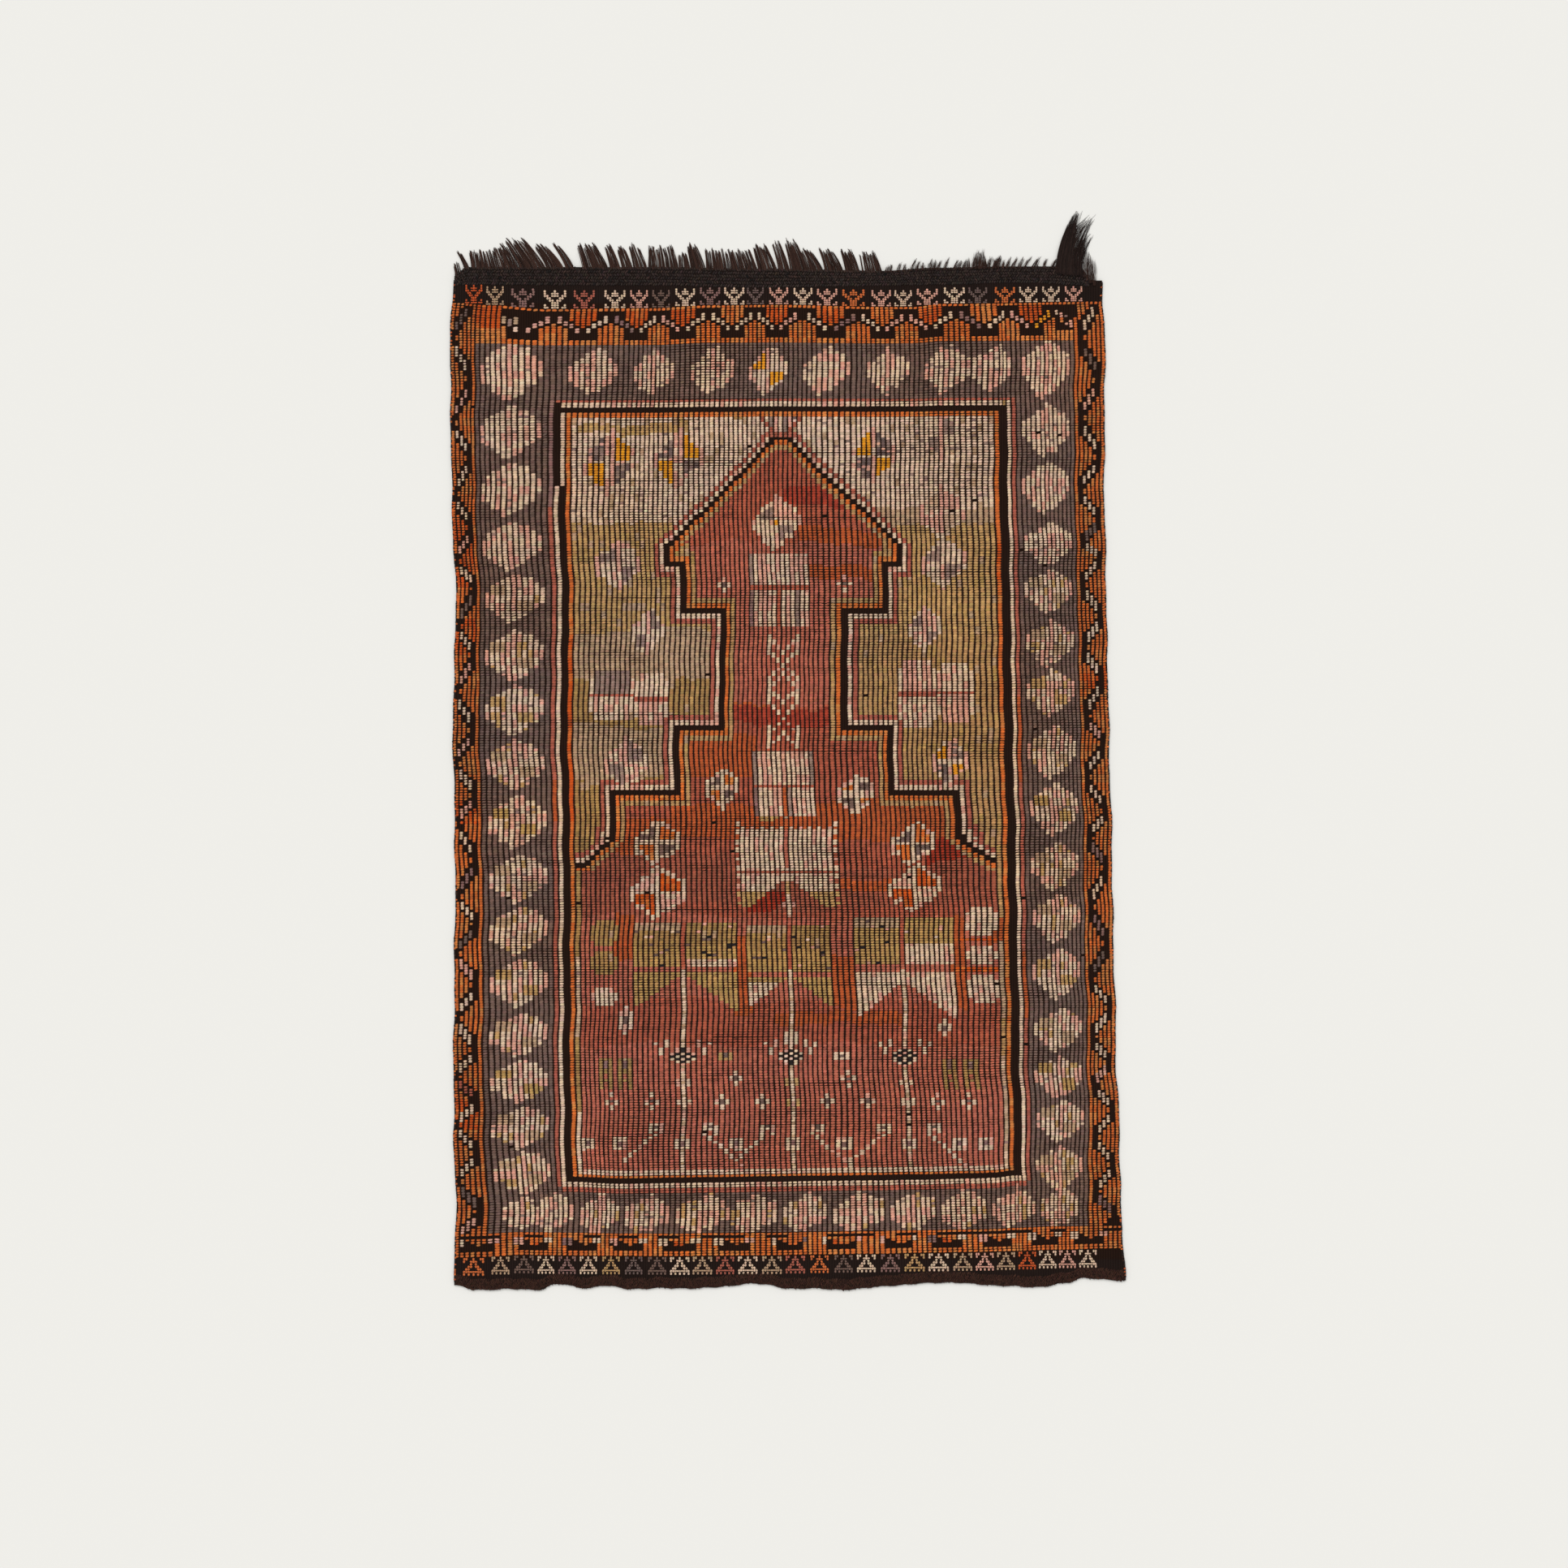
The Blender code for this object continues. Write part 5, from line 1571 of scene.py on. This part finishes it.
def set_stage():
    """A plain pale floor, even light from all round with a broad soft one, and a camera straight above."""
    values, scene, far = settings(), bpy.context.scene, FLOOR_REACH
    mesh = bpy.data.meshes.new("floor")
    mesh.from_pydata([(-far, -far, 0), (far, -far, 0), (far, far, 0), (-far, far, 0)], [], [(0, 1, 2, 3)])
    floor = bpy.data.objects.new("floor", mesh)
    scene.collection.objects.link(floor)
    constants = {"Base Color": (*values.floor_color, 1), "Roughness": 1.0, "Specular IOR Level": 0.0}
    mesh.materials.append(new_material("Floor", constants)[0])
    floor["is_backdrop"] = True
    scene.world = bpy.data.worlds.new("Sky")
    scene.world.use_nodes = True
    sky = scene.world.node_tree.nodes["Background"].inputs
    sky["Color"].default_value, sky["Strength"].default_value = (1, 1, 1, 1), values.sky_strength
    sun = bpy.data.lights.new("broad light", "SUN")
    sun.energy, sun.angle = values.sun_strength, math.radians(SUN_SPREAD)
    lamp = bpy.data.objects.new("broad light", sun)
    lamp.rotation_euler = [math.radians(turn) for turn in SUN_TURN]
    lens = bpy.data.cameras.new("camera")
    lens.sensor_width, lens.lens, lens.clip_end = SENSOR, SENSOR * VIEW_HEIGHT / VIEW_SIDE, FAR_CLIP
    camera = bpy.data.objects.new("camera", lens)
    camera.location = (*VIEW_CENTRE, VIEW_HEIGHT)
    for made in (lamp, camera):
        scene.collection.objects.link(made)
    scene.camera = camera
    scene.view_settings.view_transform, scene.view_settings.look = "Standard", "None"


class RUG_OT_ground(bpy.types.Operator):
    """Lay the plain dark ground cloth"""

    bl_idname = "rug.ground"
    bl_label = "Ground cloth"

    def execute(self, context):
        lay_ground()
        return {"FINISHED"}


class RUG_OT_brocade(bpy.types.Operator):
    """Lay the brocade stitch by stitch, in strips"""

    bl_idname = "rug.brocade"
    bl_label = "Brocade"

    def execute(self, context):
        lay_brocade()
        return {"FINISHED"}


class RUG_OT_motifs(bpy.types.Operator):
    """Lay the small motifs of the head and foot bands"""

    bl_idname = "rug.motifs"
    bl_label = "Band motifs"

    def execute(self, context):
        lay_motifs()
        return {"FINISHED"}


class RUG_OT_edges(bpy.types.Operator):
    """Lay the twined hem and wrap the selvedges"""

    bl_idname = "rug.edges"
    bl_label = "Hem and selvedges"

    def execute(self, context):
        lay_hem()
        lay_selvedges()
        return {"FINISHED"}


class RUG_OT_heading(bpy.types.Operator):
    """Lay the twined strip across the head"""

    bl_idname = "rug.heading"
    bl_label = "Twined head"

    def execute(self, context):
        lay_twining()
        return {"FINISHED"}


class RUG_OT_fringe(bpy.types.Operator):
    """Draw out the fringe and the tail"""

    bl_idname = "rug.fringe"
    bl_label = "Fringe and tail"

    def execute(self, context):
        lay_fringe()
        lay_tail()
        return {"FINISHED"}


class RUG_OT_stage(bpy.types.Operator):
    """Set the floor, the light and the camera"""

    bl_idname = "rug.stage"
    bl_label = "Stage"

    def execute(self, context):
        set_stage()
        return {"FINISHED"}


OPERATORS = (
    RUG_OT_ground, RUG_OT_brocade, RUG_OT_motifs, RUG_OT_edges, RUG_OT_heading, RUG_OT_fringe, RUG_OT_stage,
)


class RUG_PT_panel(bpy.types.Panel):
    """The rug's pieces and settings"""

    bl_label = "Cicim prayer rug"
    bl_space_type = "VIEW_3D"
    bl_region_type = "UI"
    bl_category = "Rug"

    def draw(self, context):
        for made in OPERATORS:
            self.layout.operator(made.bl_idname)
        for name in RugSettings.__annotations__:
            self.layout.prop(context.scene.rug_settings, name)


def register():
    for made in (RugSettings, *OPERATORS, RUG_PT_panel):
        bpy.utils.register_class(made)
    bpy.types.Scene.rug_settings = PointerProperty(type=RugSettings)


def unregister():
    del bpy.types.Scene.rug_settings
    for made in (RUG_PT_panel, *reversed(OPERATORS), RugSettings):
        bpy.utils.unregister_class(made)


CLOTH_PIECES = ("brocade_strip", "head_motifs", "foot_motifs", "hem_twining", "selvedge_wraps")


def declare_cloth():
    """Says that the ground cloth, with all that is worked into it, is one sheet laid on the floor."""
    pieces = [piece for piece in bpy.data.objects if piece.name.startswith(CLOTH_PIECES)]


def main():
    register()
    bpy.ops.rug.ground()
    bpy.ops.rug.brocade()
    bpy.ops.rug.motifs()
    bpy.ops.rug.edges()
    bpy.ops.rug.heading()
    bpy.ops.rug.fringe()
    bpy.ops.rug.stage()
    declare_cloth()
    sizes = {"cad": CAD_BOX, "visual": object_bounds()}
    sizes = {name: [[float(value) for value in corner] for corner in box] for name, box in sizes.items()}


if __name__ == "__main__":
    main()
